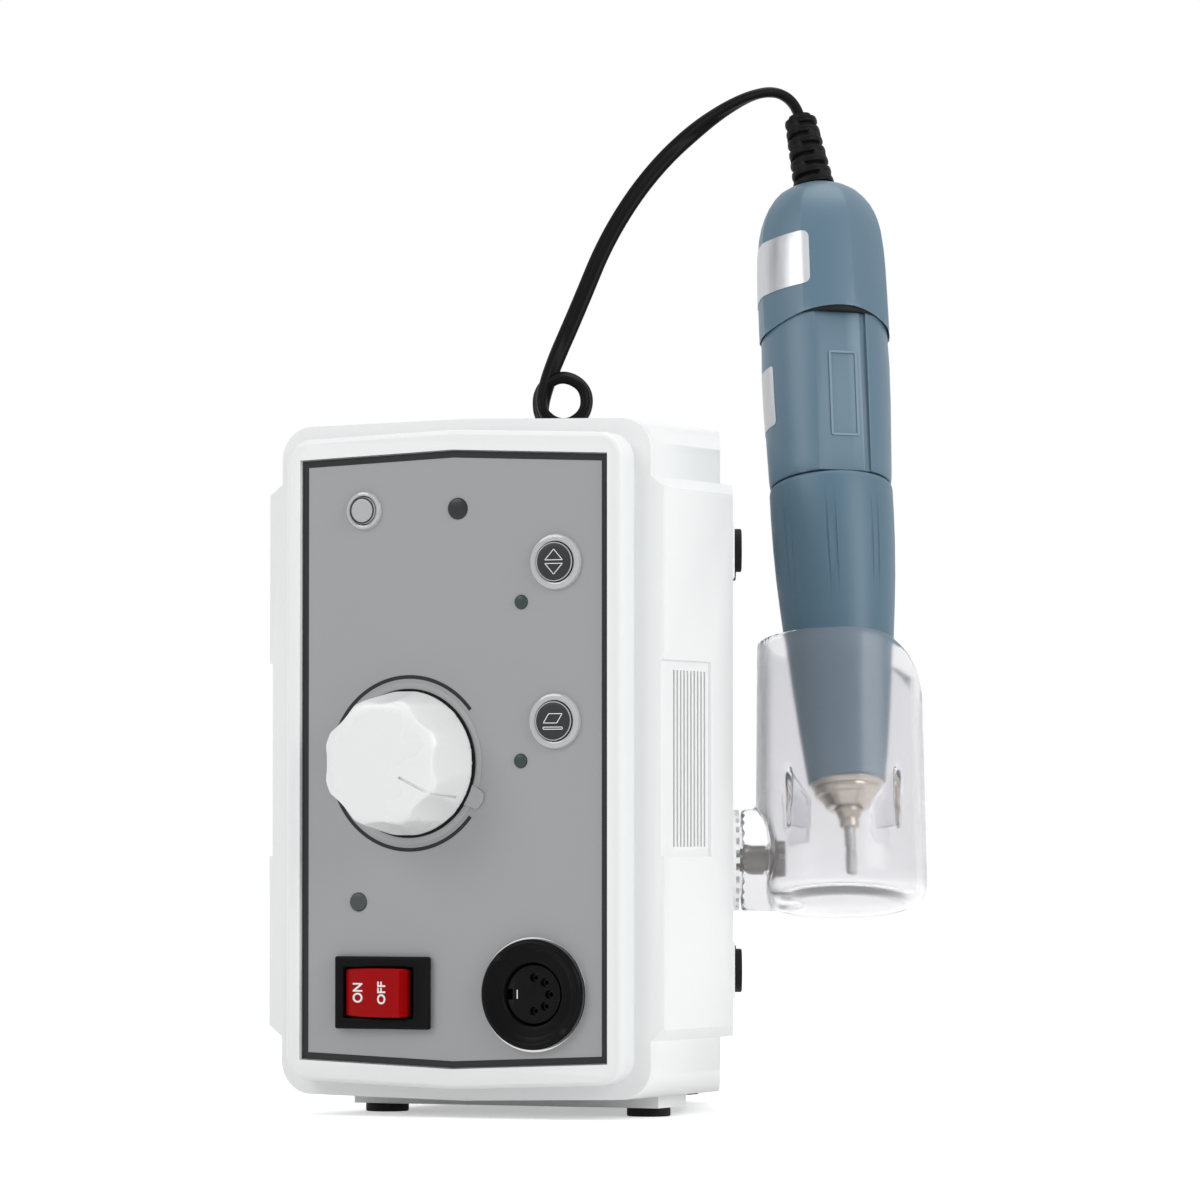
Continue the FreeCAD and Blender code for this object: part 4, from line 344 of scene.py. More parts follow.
def buildMouldedSkin():
    group, start, end = startGroup("mouldedSkin", {
        "Color": "Color", "Tone": "Float", "Cloud": "Float", "Grain": "Float",
        "Rough": "Float", "Spread": "Float",
    }, skinOutputs)
    spot = addNode(group, "ShaderNodeTexCoord").outputs["Object"]
    cloud = addNoise(group, spot, start["Cloud"], 4.0)
    grain = addNoise(group, spot, start["Grain"], 2.0)
    return endSkin(group, start, end, cloud, grain)


def buildToolMarks():
    group, start, end = startGroup("toolMarks", {
        "Vector": "Vector", "Color": "Color", "Tone": "Float", "Rough": "Float", "Spread": "Float",
    }, skinOutputs)
    lines = addNoise(group, start["Vector"], 1.0, 3.0)
    return endSkin(group, start, end, lines, lines)


def buildEdgeRub():
    inputs = {"Color": "Color", "Rubbed": "Color", "Amount": "Float"}
    group, start, end = startGroup("edgeRub", inputs, {"Color": "Color"})
    point = addNode(group, "ShaderNodeNewGeometry").outputs["Pointiness"]
    steps = [("Value", point), ("From Min", 0.52), ("From Max", 0.62), ("To Min", 0.0), ("To Max", 1.0)]
    edge = addNode(group, "ShaderNodeMapRange", steps)
    share = addMath(group, "MULTIPLY", edge.outputs[0], start["Amount"])
    colours = [("Factor", share), (6, start["Color"]), (7, start["Rubbed"])]
    mix = addNode(group, "ShaderNodeMix", colours, data_type="RGBA")
    group.links.new(mix.outputs[2], end["Color"])
    return group


mouldedSkin = buildMouldedSkin()
edgeRub = buildEdgeRub()
toolMarks = buildToolMarks()


def startFinish(name):
    finish = bpy.data.materials.new(name)
    finish.use_nodes = True
    return finish, finish.node_tree, finish.node_tree.nodes["Principled BSDF"]


def wireSkin(tree, shader, skin, paint, deep):
    relief = [("Height", skin["Height"]), ("Distance", deep * mm), ("Strength", 1.0)]
    bump = addNode(tree, "ShaderNodeBump", relief)
    tree.links.new(paint, shader.inputs["Base Color"])
    tree.links.new(skin["Roughness"], shader.inputs["Roughness"])
    tree.links.new(bump.outputs["Normal"], shader.inputs["Normal"])


def mouldedFinish(name, colour, rough, grain, deep, tone=0.04, spread=0.08, cloud=40, rub=None, extra=()):
    finish, tree, shader = startFinish(name)
    skin = addNode(tree, "ShaderNodeGroup", [
        ("Color", (*colour, 1)), ("Tone", tone), ("Rough", rough), ("Spread", spread), ("Cloud", cloud),
        ("Grain", 1 / (grain * mm)),
    ], node_tree=mouldedSkin).outputs
    paint = skin["Color"]
    if rub:
        wear = [("Color", paint), ("Rubbed", (*rub[0], 1)), ("Amount", rub[1])]
        paint = addNode(tree, "ShaderNodeGroup", wear, node_tree=edgeRub).outputs["Color"]
    wireSkin(tree, shader, skin, paint, deep)
    for socket, value in extra:
        shader.inputs[socket].default_value = value
    return finish


def metalFinish(name, colour, rough, marks, turn=(0, 0, 0), tone=0.12, spread=0.2, deep=0.002):
    finish, tree, shader = startFinish(name)
    spot = addNode(tree, "ShaderNodeTexCoord").outputs["Object"]
    turned = addNode(tree, "ShaderNodeMapping", [("Vector", spot), ("Rotation", turn)])
    scaled = addNode(tree, "ShaderNodeMapping", [("Vector", turned.outputs[0]), ("Scale", marks)])
    skin = addNode(tree, "ShaderNodeGroup", [
        ("Color", (*colour, 1)), ("Tone", tone), ("Rough", rough), ("Spread", spread),
        ("Vector", scaled.outputs[0]),
    ], node_tree=toolMarks).outputs
    wireSkin(tree, shader, skin, skin["Color"], deep)
    shader.inputs["Metallic"].default_value = 1.0
    return finish


# frames that lean: the slanted side, the holder's cup and the handpiece
slant = math.radians(25)
tiltTurn = Matrix.Rotation(slant, 4, "Z") @ turnBy(-11.5, "X")
ringSpot = Vector((36.107, 2.751, 54.15)) * mm
holderPlace = Matrix.Translation(ringSpot) @ tiltTurn
cupPlace = holderPlace @ moveBy(24, 0, 0)
outWay = Vector((math.cos(slant), math.sin(slant), 0))
backWay = Vector((-math.sin(slant), math.cos(slant), 0))
upWay = Vector((0, 0, 1))
hand = {
    "back": 15.5, "aside": 2.4, "lean": 0.011, "leanFrom": 78, "facets": 8, "facetShare": 0.45, "crease": -65,
    "rim": 124, "rimHigh": 7, "rimDip": 1.2, "rimSwing": 3.5,
    "flatMiddle": -76.5, "flatHalf": 5.8, "flatOut": 12.35,
}
handLean = backWay * math.tan(math.radians(hand["back"])) - outWay * math.tan(math.radians(hand["aside"]))
handWay = (upWay + handLean).normalized()
handSide = (outWay - handWay * outWay.dot(handWay)).normalized()
handBack = handWay.cross(handSide)
handFoot = holderPlace @ (Vector((25.95, 0.9, 7.3)) * mm)
handTurn = Matrix((handSide, handBack, handWay)).transposed().to_4x4()
handPlace = Matrix.Translation(handFoot) @ handTurn
reliefPlace = handPlace @ moveBy(0, 0, 149) @ turnBy(-8, "Y")
handTurns = tuple(handTurn.to_3x3().inverted().to_euler())

# finishes, named for what they cover: slot, colour, roughness, grain and its depth in mm, and the rest
dead = [("Specular IOR Level", 0.07)]
matt = [("Specular IOR Level", 0.2)]
softly = [("Specular IOR Level", 0.3)]
glazed = [("Coat Weight", 1.0), ("Coat Roughness", 0.04)]
clear = [("Transmission Weight", 0.955), ("IOR", 1.27)]
paleRub = ((0.95, 0.95, 0.94), 0.3)
darkRub = ((0.03, 0.03, 0.03), 0.4)
knobRub = ((0.95, 0.95, 0.95), 0.2)
motorRub = ((0.23, 0.32, 0.40), 0.5)
gripRub = ((0.20, 0.29, 0.36), 0.5)
rubberRub = ((0.04, 0.04, 0.04), 0.4)
plastics = {
    "boxWhite": ("white_housing", (0.86, 0.875, 0.875), 0.42, 0.5, 0.012, dict(tone=0.03, rub=paleRub)),
    "frameWhite": ("white_housing", (0.84, 0.855, 0.855), 0.34, 0.6, 0.008, dict(tone=0.03, rub=paleRub)),
    "panelFilm": ("grey_panel", (0.335, 0.345, 0.35), 0.33, 0.22, 0.006, dict(tone=0.03, spread=0.06)),
    "panelInk": ("dark_button", (0.024, 0.026, 0.029), 0.4, 0.2, 0.004, dict(extra=matt)),
    "knobWhite": ("white_knob", (0.84, 0.85, 0.85), 0.28, 0.8, 0.006, dict(tone=0.02, rub=knobRub)),
    "switchBlack": ("black_plastic", (0.004, 0.004, 0.004), 0.42, 0.3, 0.012, dict(rub=darkRub, extra=dead)),
    "socketBlack": ("black_plastic", (0.003, 0.003, 0.003), 0.30, 0.3, 0.006, dict(rub=darkRub, extra=dead)),
    "rockerRed": (
        "red_rocker", (0.33, 0.0015, 0.003), 0.26, 0.5, 0.005,
        dict(tone=0.10, rub=((0.62, 0.03, 0.03), 0.3), extra=dead),
    ),
    "letterWhite": ("white_knob", (0.85, 0.85, 0.85), 0.5, 0.2, 0.003, {}),
    "buttonGrey": ("dark_button", (0.024, 0.026, 0.029), 0.40, 0.25, 0.006, dict(extra=softly)),
    "tabMilk": ("clear_collar", (0.385, 0.395, 0.40), 0.25, 0.5, 0.004, {}),
    "resetCap": ("clear_collar", (0.43, 0.445, 0.45), 0.3, 0.5, 0.004, {}),
    "collarMilk": ("clear_collar", (0.46, 0.475, 0.48), 0.14, 0.6, 0.006, dict(extra=glazed)),
    "lampSmoke": ("dark_lens", (0.022, 0.026, 0.027), 0.3, 0.25, 0.02, dict(tone=0.3, extra=softly)),
    "lampGrey": ("dark_lens", (0.060, 0.066, 0.070), 0.35, 0.25, 0.02, dict(tone=0.3, extra=softly)),
    "lampGreen": ("dark_lens", (0.034, 0.055, 0.053), 0.3, 0.25, 0.02, dict(tone=0.3, extra=softly)),
    "cupClear": (
        "clear_plastic", (0.88, 0.878, 0.895), 0.16, 1.5, 0.003,
        dict(tone=0.02, spread=0.05, cloud=60, extra=clear),
    ),
    "motorBlue": ("blue_plastic", (0.092, 0.164, 0.224), 0.40, 0.35, 0.010, dict(tone=0.05, rub=motorRub)),
    "gripBlue": ("blue_plastic", (0.074, 0.143, 0.200), 0.44, 0.35, 0.012, dict(tone=0.05, rub=gripRub)),
    "reliefRubber": ("black_rubber", (0.005, 0.005, 0.005), 0.42, 0.4, 0.015, dict(rub=rubberRub, extra=dead)),
    "cordRubber": (
        "black_rubber", (0.005, 0.005, 0.005), 0.38, 0.5, 0.010,
        dict(tone=0.2, spread=0.15, cloud=300, extra=dead),
    ),
    "footRubber": ("black_rubber", (0.004, 0.004, 0.004), 0.65, 0.3, 0.02, dict(extra=matt)),
    "ferrite": (None, (0.07, 0.07, 0.075), 0.6, 0.3, 0.03, {}),
    "boardGreen": (None, (0.02, 0.12, 0.05), 0.35, 1.2, 0.01, dict(tone=0.15)),
}
# slot, colour, roughness, tool marks per metre along each axis, and the rest
metals = {
    "noseSteel": ("steel", (0.50, 0.45, 0.39), 0.22, (150, 150, 5000), dict(turn=handTurns)),
    "burSteel": (
        "steel", (0.42, 0.42, 0.42), 0.3, (1500, 1500, 3000), dict(turn=handTurns, deep=0.05, tone=0.4),
    ),
    "screwSteel": ("steel", (0.62, 0.62, 0.61), 0.3, (900, 900, 900), {}),
    "boltSteel": ("steel", (0.20, 0.19, 0.18), 0.35, (900, 900, 900), {}),
    "pinBrass": ("brass", (0.72, 0.56, 0.26), 0.25, (700, 700, 700), {}),
    "pinDark": (None, (0.035, 0.033, 0.03), 0.4, (700, 700, 700), {}),
    "plugShell": ("steel", (0.66, 0.66, 0.66), 0.22, (6000, 150, 150), {}),
    "labelSilver": (
        "aluminium", (0.50, 0.51, 0.53), 0.36, (220, 220, 25), dict(turn=handTurns, tone=0.9, spread=0.3),
    ),
    "copperWire": (None, (0.70, 0.30, 0.14), 0.35, (4000, 4000, 300), {}),
    "canAluminium": (None, (0.72, 0.72, 0.73), 0.35, (200, 2500, 200), {}),
}
finishes, slots = {}, {}
for make, table in ((mouldedFinish, plastics), (metalFinish, metals)):
    for name, (slot, *values, more) in table.items():
        finishes[name] = make(name, *values, **more)
        slots[name] = slot
print("finishes ready:", len(finishes))

# the inner pieces keep their solids' meshes
innerFinish = {
    "screwSteel": [
        "board_screws", "bracket_screws", "pot_nut", "pot_shaft", "socket_nut", "transformer_bracket",
        "bearings", "spindle_shaft",
    ],
    "switchBlack": ["tact_switches", "pot_body", "brush_holders"],
    "boardGreen": ["control_board", "power_board"],
    "pinBrass": ["knob_insert", "holder_insert"],
    "pinDark": ["din_contacts"],
    "ferrite": ["transformer_core", "stator_magnets", "carbon_brushes"],
    "copperWire": ["transformer_winding", "armature", "commutator"],
    "canAluminium": ["smoothing_capacitors", "heat_sink"],
}
for finish, nodes in innerFinish.items():
    for node in nodes:
        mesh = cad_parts[node].data
        mesh.materials.clear()
        mesh.materials.append(finishes[finish])


# cords: one flat black lead in three stretches, each on the points that its solid follows
cordSize = {
    "wide": 3.8, "thick": 2.4, "sides": 28, "square": 0.8, "groove": 0.22, "grooveHalf": 0.35, "steps": 10,
}
lidHeight = 146.7
backPlane = 44.0
deepTurn = math.radians(26)
deepWay = Vector((-math.sin(deepTurn), math.cos(deepTurn), 0))
rightWay = Vector((math.cos(deepTurn), math.sin(deepTurn), 0))


def smoothLine(points, steps):
    curve = bpy.data.curves.new("line", "CURVE")
    curve.dimensions = "3D"
    spline = curve.splines.new("NURBS")
    spline.points.add(len(points) - 1)
    for spot, point in zip(points, spline.points):
        point.co = (*(Vector(spot) * mm), 1)
    spline.order_u = 3
    spline.use_endpoint_u = True
    spline.resolution_u = steps
    holder = bpy.data.objects.new("line", curve)
    scene.collection.objects.link(holder)
    line = bpy.data.meshes.new_from_object(holder)
    spots = [vertex.co.copy() for vertex in line.vertices]
    bpy.data.objects.remove(holder)
    bpy.data.curves.remove(curve)
    bpy.data.meshes.remove(line)
    return spots


# the lead's section: two round cores side by side with a shallow groove between
def flatProfile():
    half = cordSize["wide"] / 2
    core = cordSize["thick"] / 2
    square = cordSize["square"]
    shape = []
    for i in range(cordSize["sides"]):
        angle = 2 * math.pi * i / cordSize["sides"]
        wide, tall = math.cos(angle), math.sin(angle)
        across = half * math.copysign(abs(wide) ** square, wide)
        rise = core * math.copysign(abs(tall) ** square, tall)
        dip = cordSize["groove"] * math.exp(-((across / cordSize["grooveHalf"]) ** 2))
        rise -= math.copysign(min(dip, abs(rise)), rise)
        shape.append((across * mm, rise * mm))
    return shape


# faces holds one direction for each point: where the lead's flat side looks
def flatLead(name, points, faces):
    spots = smoothLine(points, cordSize["steps"])
    shape = flatProfile()
    mesh = bmesh.new()
    rings = []
    last = len(spots) - 1
    for i, spot in enumerate(spots):
        way = (spots[min(i + 1, last)] - spots[max(i - 1, 0)]).normalized()
        station = i / last * (len(points) - 1)
        before = min(int(station), len(points) - 2)
        share = station - before
        face = faces[before].lerp(faces[before + 1], share)
        side = way.cross(face).normalized()
        out = side.cross(way)
        rings.append([mesh.verts.new(spot + side * across + out * rise) for across, rise in shape])
    count = len(shape)
    for low, high in zip(rings, rings[1:]):
        for k in range(count):
            mesh.faces.new((low[k], low[(k + 1) % count], high[(k + 1) % count], high[k]))
    mesh.faces.new(rings[0])
    mesh.faces.new(rings[-1])
    bmesh.ops.recalc_face_normals(mesh, faces=mesh.faces)
    data = bpy.data.meshes.new(name)
    mesh.to_mesh(data)
    mesh.free()
    piece = bpy.data.objects.new(name, data)
    scene.collection.objects.link(piece)
    smoothOut(piece, 60)
    data.materials.append(finishes["cordRubber"])
    length = sum((b - a).length for a, b in zip(spots, spots[1:]))
    print("%s: %.1f mm on its line" % (name, length / mm))
    return piece, spots, length


reliefEnd = reliefPlace @ Vector((0, 0, 16 * mm)) / mm
reliefWay = (reliefPlace.to_3x3() @ Vector((0, 0, 1))).normalized()
archPoints = [
    reliefEnd,
    reliefEnd + reliefWay * 5.2,
    reliefEnd + Vector((-6.5, -5.16, 7.44)),
    reliefEnd + Vector((-15.4, -14.56, 0.64)),
    reliefEnd + Vector((-24.6, -25.56, -11.56)),
]
fallPoints = [
    reliefEnd + Vector((-31.3, -35.56, -27.26)),
    Vector((-2.8, 8.0, lidHeight + 28.8)),
    Vector((-6.3, 0.6, lidHeight + 14.1)),
]
splitPoint = (archPoints[-1] + fallPoints[0]) / 2
loop = {"spots": 7, "first": 210, "step": 60, "reach": 6, "apart": 0.85, "lean": 0.4}
loopMiddle = Vector((-2.7, 0, lidHeight + 8))
loopPoints, loopFaces = [], []
for i in range(loop["spots"]):
    angle = math.radians(loop["first"] + loop["step"] * i)
    outward = rightWay * math.cos(angle) + upWay * math.sin(angle)
    aside = deepWay * ((i - loop["spots"] // 2) * loop["apart"])
    loopPoints.append(loopMiddle + outward * loop["reach"] + aside)
    loopFaces.append(outward - deepWay * loop["lean"])
backSteps = [
    (-8.9, -37.4, 3), (-12.5, -25.5, 2.6), (-16, -10, 2.8), (-21, 6, 4.1), (-24, 7.4, -12.7),
    (-26, 6.2, -36.7), (-29.5, 6.4, -66.7), (-43, 7, -96.7), (-54, 8, -122.7), (-52, 8.6, -138.2),
    (-42.5, 8.8, -144.0),
]
backPoints = [Vector((x, backPlane + y, lidHeight + z)) for x, y, z in backSteps]
backFaces = [-upWay] * 3 + [Vector((0, -1, -1))] + [Vector((0, -1, 0))] * 7
coil = {"middle": (-34, 78), "reach": 25.2, "pitch": 4.2, "turns": 2.5, "low": 2.7, "perTurn": 16}


def coilSpot(turn):
    inward = min(turn, coil["turns"] + 0.25)
    outward = max(turn - coil["turns"] - 0.25, 0)
    reach = coil["reach"] - coil["pitch"] * (inward - outward)
    angle = math.radians(360 * turn - 90)
    climb = min(max((turn - coil["turns"]) * 2, 0), 1)
    climb = climb * climb * (3 - 2 * climb)
    outFace = Vector((math.cos(angle), math.sin(angle), 0))
    spot = Vector((*coil["middle"], coil["low"] + coil["pitch"] * climb)) + outFace * reach
    return spot, outFace


turnsInAll = coil["turns"] * 2 + 0.5
coilCount = round(turnsInAll * coil["perTurn"])
coilRoute = [coilSpot(turnsInAll * i / coilCount) for i in range(coilCount + 1)]
coilPoints = [spot for spot, face in coilRoute]
coilFaces = [face for spot, face in coilRoute]
plugFace = coilPoints[-1] + Vector((-3.2, 0, 0))

upRight = rightWay + upWay
arch, archLine, archLong = flatLead(
    "cordArch",
    archPoints + [splitPoint],
    [rightWay, upRight, upWay, upWay + deepWay * 0.8, deepWay, deepWay],
)
run, runLine, runLong = flatLead(
    "cordRun",
    [splitPoint] + fallPoints + loopPoints + backPoints + [coilPoints[0]],
    [deepWay, deepWay, deepWay, deepWay - rightWay] + loopFaces + backFaces + [Vector((0, -1, 0))],
)
wound, woundLine, woundLong = flatLead("cordWound", coilPoints + [plugFace], coilFaces + [coilFaces[-1]])
for piece, node in ((arch, "cord_arch"), (run, "cord_run"), (wound, "cord_coil")):
    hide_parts(node)
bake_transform(arch)
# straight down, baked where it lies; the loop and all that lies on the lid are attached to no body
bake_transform(run)
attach(wound, "box")
print("cords laid")


# ways of making the rigid pieces
panelSpot = {"face": -60.0, "middle": 75.65}


def panelPlace(across, up, out=0.0, turn=0.0):
    spot = Vector((across, panelSpot["face"] - out, panelSpot["middle"] + up)) * mm
    return Matrix.Translation(spot) @ turnBy(90, "X") @ turnBy(turn, "Z")


# a solid's own mesh, tidied and softened; the piece is named after its node unless a name is given
def smoothCopy(node, body, finish, edge=0.0, name=None, angle=30):
    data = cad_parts[node].data.copy()
    first, second = node.split("_")
    piece = bpy.data.objects.new(name or first + second.title(), data)
    scene.collection.objects.link(piece)
    pick(piece)
    if data.has_custom_normals:
        bpy.ops.mesh.customdata_custom_splitnormals_clear()
    editAll(piece)
    bpy.ops.mesh.remove_doubles(threshold=0.004 * mm)
    bpy.ops.mesh.dissolve_limited(angle_limit=math.radians(0.4))
    leaveAll()
    if edge:
        soften(piece, edge, 2, angle)
    evenShading(piece, angle)
    return dress(piece, body, finish, [node])


# a flat ring, open over gap = (middle, half) in degrees if one is given
def ringSector(name, inner, outer, low, high, gap=None, count=180):
    bpy.ops.mesh.primitive_circle_add(vertices=count, radius=inner * mm, location=(0, 0, low * mm))
    piece = settle(named(name))
    editAll(piece)
    pushUp(0)
    bpy.ops.transform.resize(value=(outer / inner, outer / inner, 1), center_override=(0, 0, low * mm))
    if gap:
        middle, half = gap

        def inGap(face):
            turn = math.degrees(math.atan2(face.center.y, face.center.x))
            return abs((turn - middle + 180) % 360 - 180) < half

        chooseFaces(piece, inGap)
        bpy.ops.mesh.delete(type="FACE")
    editAll(piece)
    pushUp(high - low)
    closeUp()
    return piece


# a flat sign with these corners; with a line width it is only an outline
def printedShape(name, corners, line, high, corner=0.0, low=0.0):
    bpy.ops.mesh.primitive_circle_add(vertices=len(corners), radius=mm, fill_type="NGON")
    piece = settle(named(name))
    for vertex, (across, up) in zip(piece.data.vertices, corners):
        vertex.co = Vector((across, up, low)) * mm
    editAll(piece)
    if corner:
        bpy.ops.mesh.bevel(offset=corner * mm, segments=5, affect="VERTICES")
        bpy.ops.mesh.select_all(action="SELECT")
    if line:
        bpy.ops.mesh.inset(thickness=line * mm)
        bpy.ops.mesh.delete(type="FACE")
        bpy.ops.mesh.select_all(action="SELECT")
    pushUp(high - low)
    closeUp()
    return piece


def writtenWord(word, size, high, place):
    bpy.ops.object.text_add()
    piece = named("word")
    setAll(piece.data, {
        "body": word, "size": size * mm, "extrude": high * mm / 2, "offset": 0.00006, "resolution_u": 4,
        "align_x": "CENTER", "align_y": "CENTER",
    })
    bpy.ops.object.convert(target="MESH")
    merged(piece)
    return settle(piece, place)


def profileRadius(profile, height):
    for (low, first), (high, second) in zip(profile, profile[1:]):
        if low <= height <= high:
            return first + (second - first) * (height - low) / (high - low)
    return profile[-1][1] if height > profile[-1][0] else profile[0][1]


# bends a flat sign round an upright axis: x goes round, y goes up, z stands out
def wrapRound(piece, reachAt, middle, height):
    for vertex in piece.data.vertices:
        across, up, out = vertex.co / mm
        angle = math.radians(middle) + across / reachAt(height, math.radians(middle))
        reach = reachAt(height + up, angle) + out
        vertex.co = Vector((reach * math.cos(angle), reach * math.sin(angle), height + up)) * mm
    piece.data.update()
    return piece


foil = {"thick": 0.09, "off": 0.02, "across": 28, "up": 18}


def stickLabel(name, wide, high, corner, reachAt, middle, height):
    bpy.ops.mesh.primitive_grid_add(x_subdivisions=foil["across"], y_subdivisions=foil["up"], size=1)
    piece = named(name)
    piece.scale = (wide * mm, high * mm, 1)
    settle(piece)
    for vertex in piece.data.vertices:
        across, up = vertex.co.x / mm, vertex.co.y / mm
        side = abs(across) - (wide / 2 - corner)
        rise = abs(up) - (high / 2 - corner)
        if side > 0 and rise > 0:
            reach = math.hypot(side, rise)
            if reach > corner:
                side, rise = side * corner / reach, rise * corner / reach
            across = math.copysign(wide / 2 - corner + side, across)
            up = math.copysign(high / 2 - corner + rise, up)
        vertex.co = Vector((across, up, foil["off"])) * mm
    wrapRound(piece, reachAt, middle, height)
    reshape(piece, "SOLIDIFY", thickness=foil["thick"] * mm, offset=1)
    editAll(piece)
    closeUp()
    return piece


# box: the bezel, shell and rear panel keep their solids' form, with moulded edges
for node, finish, edge in (
    ("front_frame", "frameWhite", 0.25), ("housing_shell", "boxWhite", 0.22),
    ("rear_panel", "boxWhite", 0.15), ("panel_overlay", "panelFilm", 0), ("case_screws", "screwSteel", 0.15),
    ("bottom_feet", "footRubber", 0.3), ("side_feet", "footRubber", 0.3), ("fuse_holder", "switchBlack", 0.25),
    ("foot_jack", "socketBlack", 0.2), ("mains_inlet", "socketBlack", 0.3),
):
    smoothCopy(node, "box", finish, edge)
print("box dressed")

# printed film: a dark border with the panel's own peaks, and the speed dial's arc
film = {"side": 35.75, "rise": 63.45, "peak": 1.5, "border": 1.45, "ink": 0.04}
corners = [
    (-film["side"], -film["rise"]), (0, -film["rise"] - film["peak"]), (film["side"], -film["rise"]),
    (film["side"], film["rise"]), (0, film["rise"] + film["peak"]), (-film["side"], film["rise"]),
]
border = printedShape("panelBorder", corners, film["border"], film["ink"], low=-0.02)
dress(border, "box", "panelInk", place=panelPlace(0, 0))
knobSpot = (-10.5, -0.9)
dial = ringSector("dialArc", 17.85, 18.65, -0.02, film["ink"], gap=(0, 38))
dress(dial, "box", "panelInk", place=panelPlace(*knobSpot))

# knob: a tapered cap with eight scallops, softened all over, then its pointer groove
knob = {
    "base": 15.3, "face": 13.5, "high": 13.8, "lift": 0.6, "rim": 1.4, "grain": 0.3, "rounds": 16,
    "flutes": 8, "fluteRound": 15, "fluteDeep": 0.12, "fluteLean": 4.2, "fluteLong": 30, "fluteUp": 0.9,
    "pointer": -26, "aside": -0.71, "line": 0.6, "lineDeep": 0.55,
}
face, top = knob["face"], knob["high"]
slope = math.atan((knob["base"] - face) / (top - knob["rim"]))
cap = turnedPiece("knobCap", [
    (12.3, 1.0), (12.3, 11.8), (0.0, 13.5), (0.0, knob["base"]), (knob["rim"], knob["base"]),
    (top - 1.6, face + 0.22), (top - 0.75, face - 0.3), (top - 0.28, face - 1.1), (top - 0.06, face - 2.4),
    (top, 7.0), (top, 1.0),
], count=128)
away = knob["base"] + knob["fluteRound"] - knob["fluteDeep"]
fluteLean = Matrix.Rotation(-slope - math.radians(knob["fluteLean"]), 4, "Y")
fluteFit = moveBy(away, 0, knob["rim"] + knob["fluteUp"]) @ fluteLean @ moveBy(0, 0, knob["fluteLong"] / 2)
for i in range(knob["flutes"]):
    flute = rod(knob["fluteRound"], knob["fluteLong"], 128)
    cutWith(cap, settle(flute, turnBy(360 * i / knob["flutes"], "Z") @ fluteFit))
castSkin(cap, knob["grain"], knob["rounds"])
low, high = knob["aside"] - knob["line"] / 2, knob["aside"] + knob["line"] / 2
pointerTurn = turnBy(knob["pointer"], "Z")
faceLine = block("pointerGroove", (5.5, low, top - knob["lineDeep"]), (13, high, top + 2))
cutWith(cap, settle(faceLine, pointerTurn))
sideLine = block("pointerGroove", (0, low, 0), (5, high, 12))
sideFit = moveBy(knob["base"] - 0.29 - knob["lineDeep"], 0, 3.4) @ Matrix.Rotation(-slope, 4, "Y")
cutWith(cap, settle(sideLine, pointerTurn @ sideFit))
dress(cap, "knob", "knobWhite", ["knob"], panelPlace(*knobSpot, out=knob["lift"]), 50)
# a black ring fills the gap between the knob's rim and the panel so that it reads as a dark line: painted
# shade
shadeRing = [(0.15, 13.6), (0.15, 15.5), (0.35, 15.75), (0.58, 15.6), (0.58, 13.6)]
dress(turnedPiece("knobShadeRing", shadeRing, ends=False), "knob", "switchBlack", place=panelPlace(*knobSpot))
dress(ringSector("dialFilm", 15.2, 17.1, 0.03, 0.12), "knob", "tabMilk", place=panelPlace(*knobSpot))
tabCorners = [(14.2, -2.5), (18.7, -1.9), (19.2, 0), (18.7, 1.9), (14.2, 2.5)]
tab = printedShape("pointerTab", tabCorners, 0, 0.45, corner=0.5, low=0.1)
soften(tab, 0.08)
dress(tab, "knob", "tabMilk", place=panelPlace(*knobSpot, turn=knob["pointer"] + 0.6))
print("knob made")

# push buttons: a domed cap in a clear collar, with a plain sign
buttons = {
    "direction": {"spot": (23.8, 41.1), "cap": 4.14, "collar": 5.9},
    "mode": {"spot": (23.6, 7.8), "cap": 4.14, "collar": 5.9},
    "reset": {"spot": (-21.1, 52.7), "cap": 2.9, "collar": 4.1},
}
signs = {
    "direction": [[(-2.2, 0.3), (2.2, 0.3), (0, 2.75)], [(-2.2, -0.3), (0, -2.75), (2.2, -0.3)]],
    "mode": [
        [(-2.3, -0.5), (1.0, -0.5), (2.3, 1.6), (-1.0, 1.6)],
        [(-2.3, -1.8), (2.3, -1.8), (2.3, -1.2), (-2.3, -1.2)],
    ],
}
collars = []
for label, button in buttons.items():
    reach, wide = button["cap"], button["collar"]
    body, place = label + "_button", panelPlace(*button["spot"])
    collar = turnedPiece(label + "Collar", [
        (-2.0, reach + 0.15), (-2.0, reach + 0.6), (0.0, reach + 0.6), (0.0, wide), (0.35, wide - 0.02),
        (0.75, wide - 0.25), (0.9, wide - 0.6), (0.92, reach + 0.55), (0.8, reach + 0.25), (0.3, reach + 0.15),
    ], ends=False)
    collars.append(settle(collar, place))
    dome = turnedPiece(label + "Dome", [
        (-2.0, reach), (0.95, reach), (1.12, reach - 0.1), (1.22, reach - 0.35), (1.27, reach - 0.9),
        (1.3, reach * 0.5), (1.3, 0.4),
    ])
    dress(dome, body, "buttonGrey" if label in signs else "resetCap", [body], place, 35)
    if label in signs:
        dress(ringSector(label + "Edge", reach - 0.34, reach - 0.02, 0.9, 1.17), body, "resetCap", place=place)
        marks = [printedShape("sign", corners, 0.16, 1.34, corner=0.25, low=1.22) for corners in signs[label]]
        dress(joinUp(label + "Sign", marks), body, "letterWhite", place=place)
    else:
        dress(ringSector(label + "Ring", reach - 0.42, reach - 0.1, 1.0, 1.24), body, "panelInk", place=place)
dress(joinUp("buttonCollars", collars), "box", "collarMilk", ["button_collars"], smooth=35)

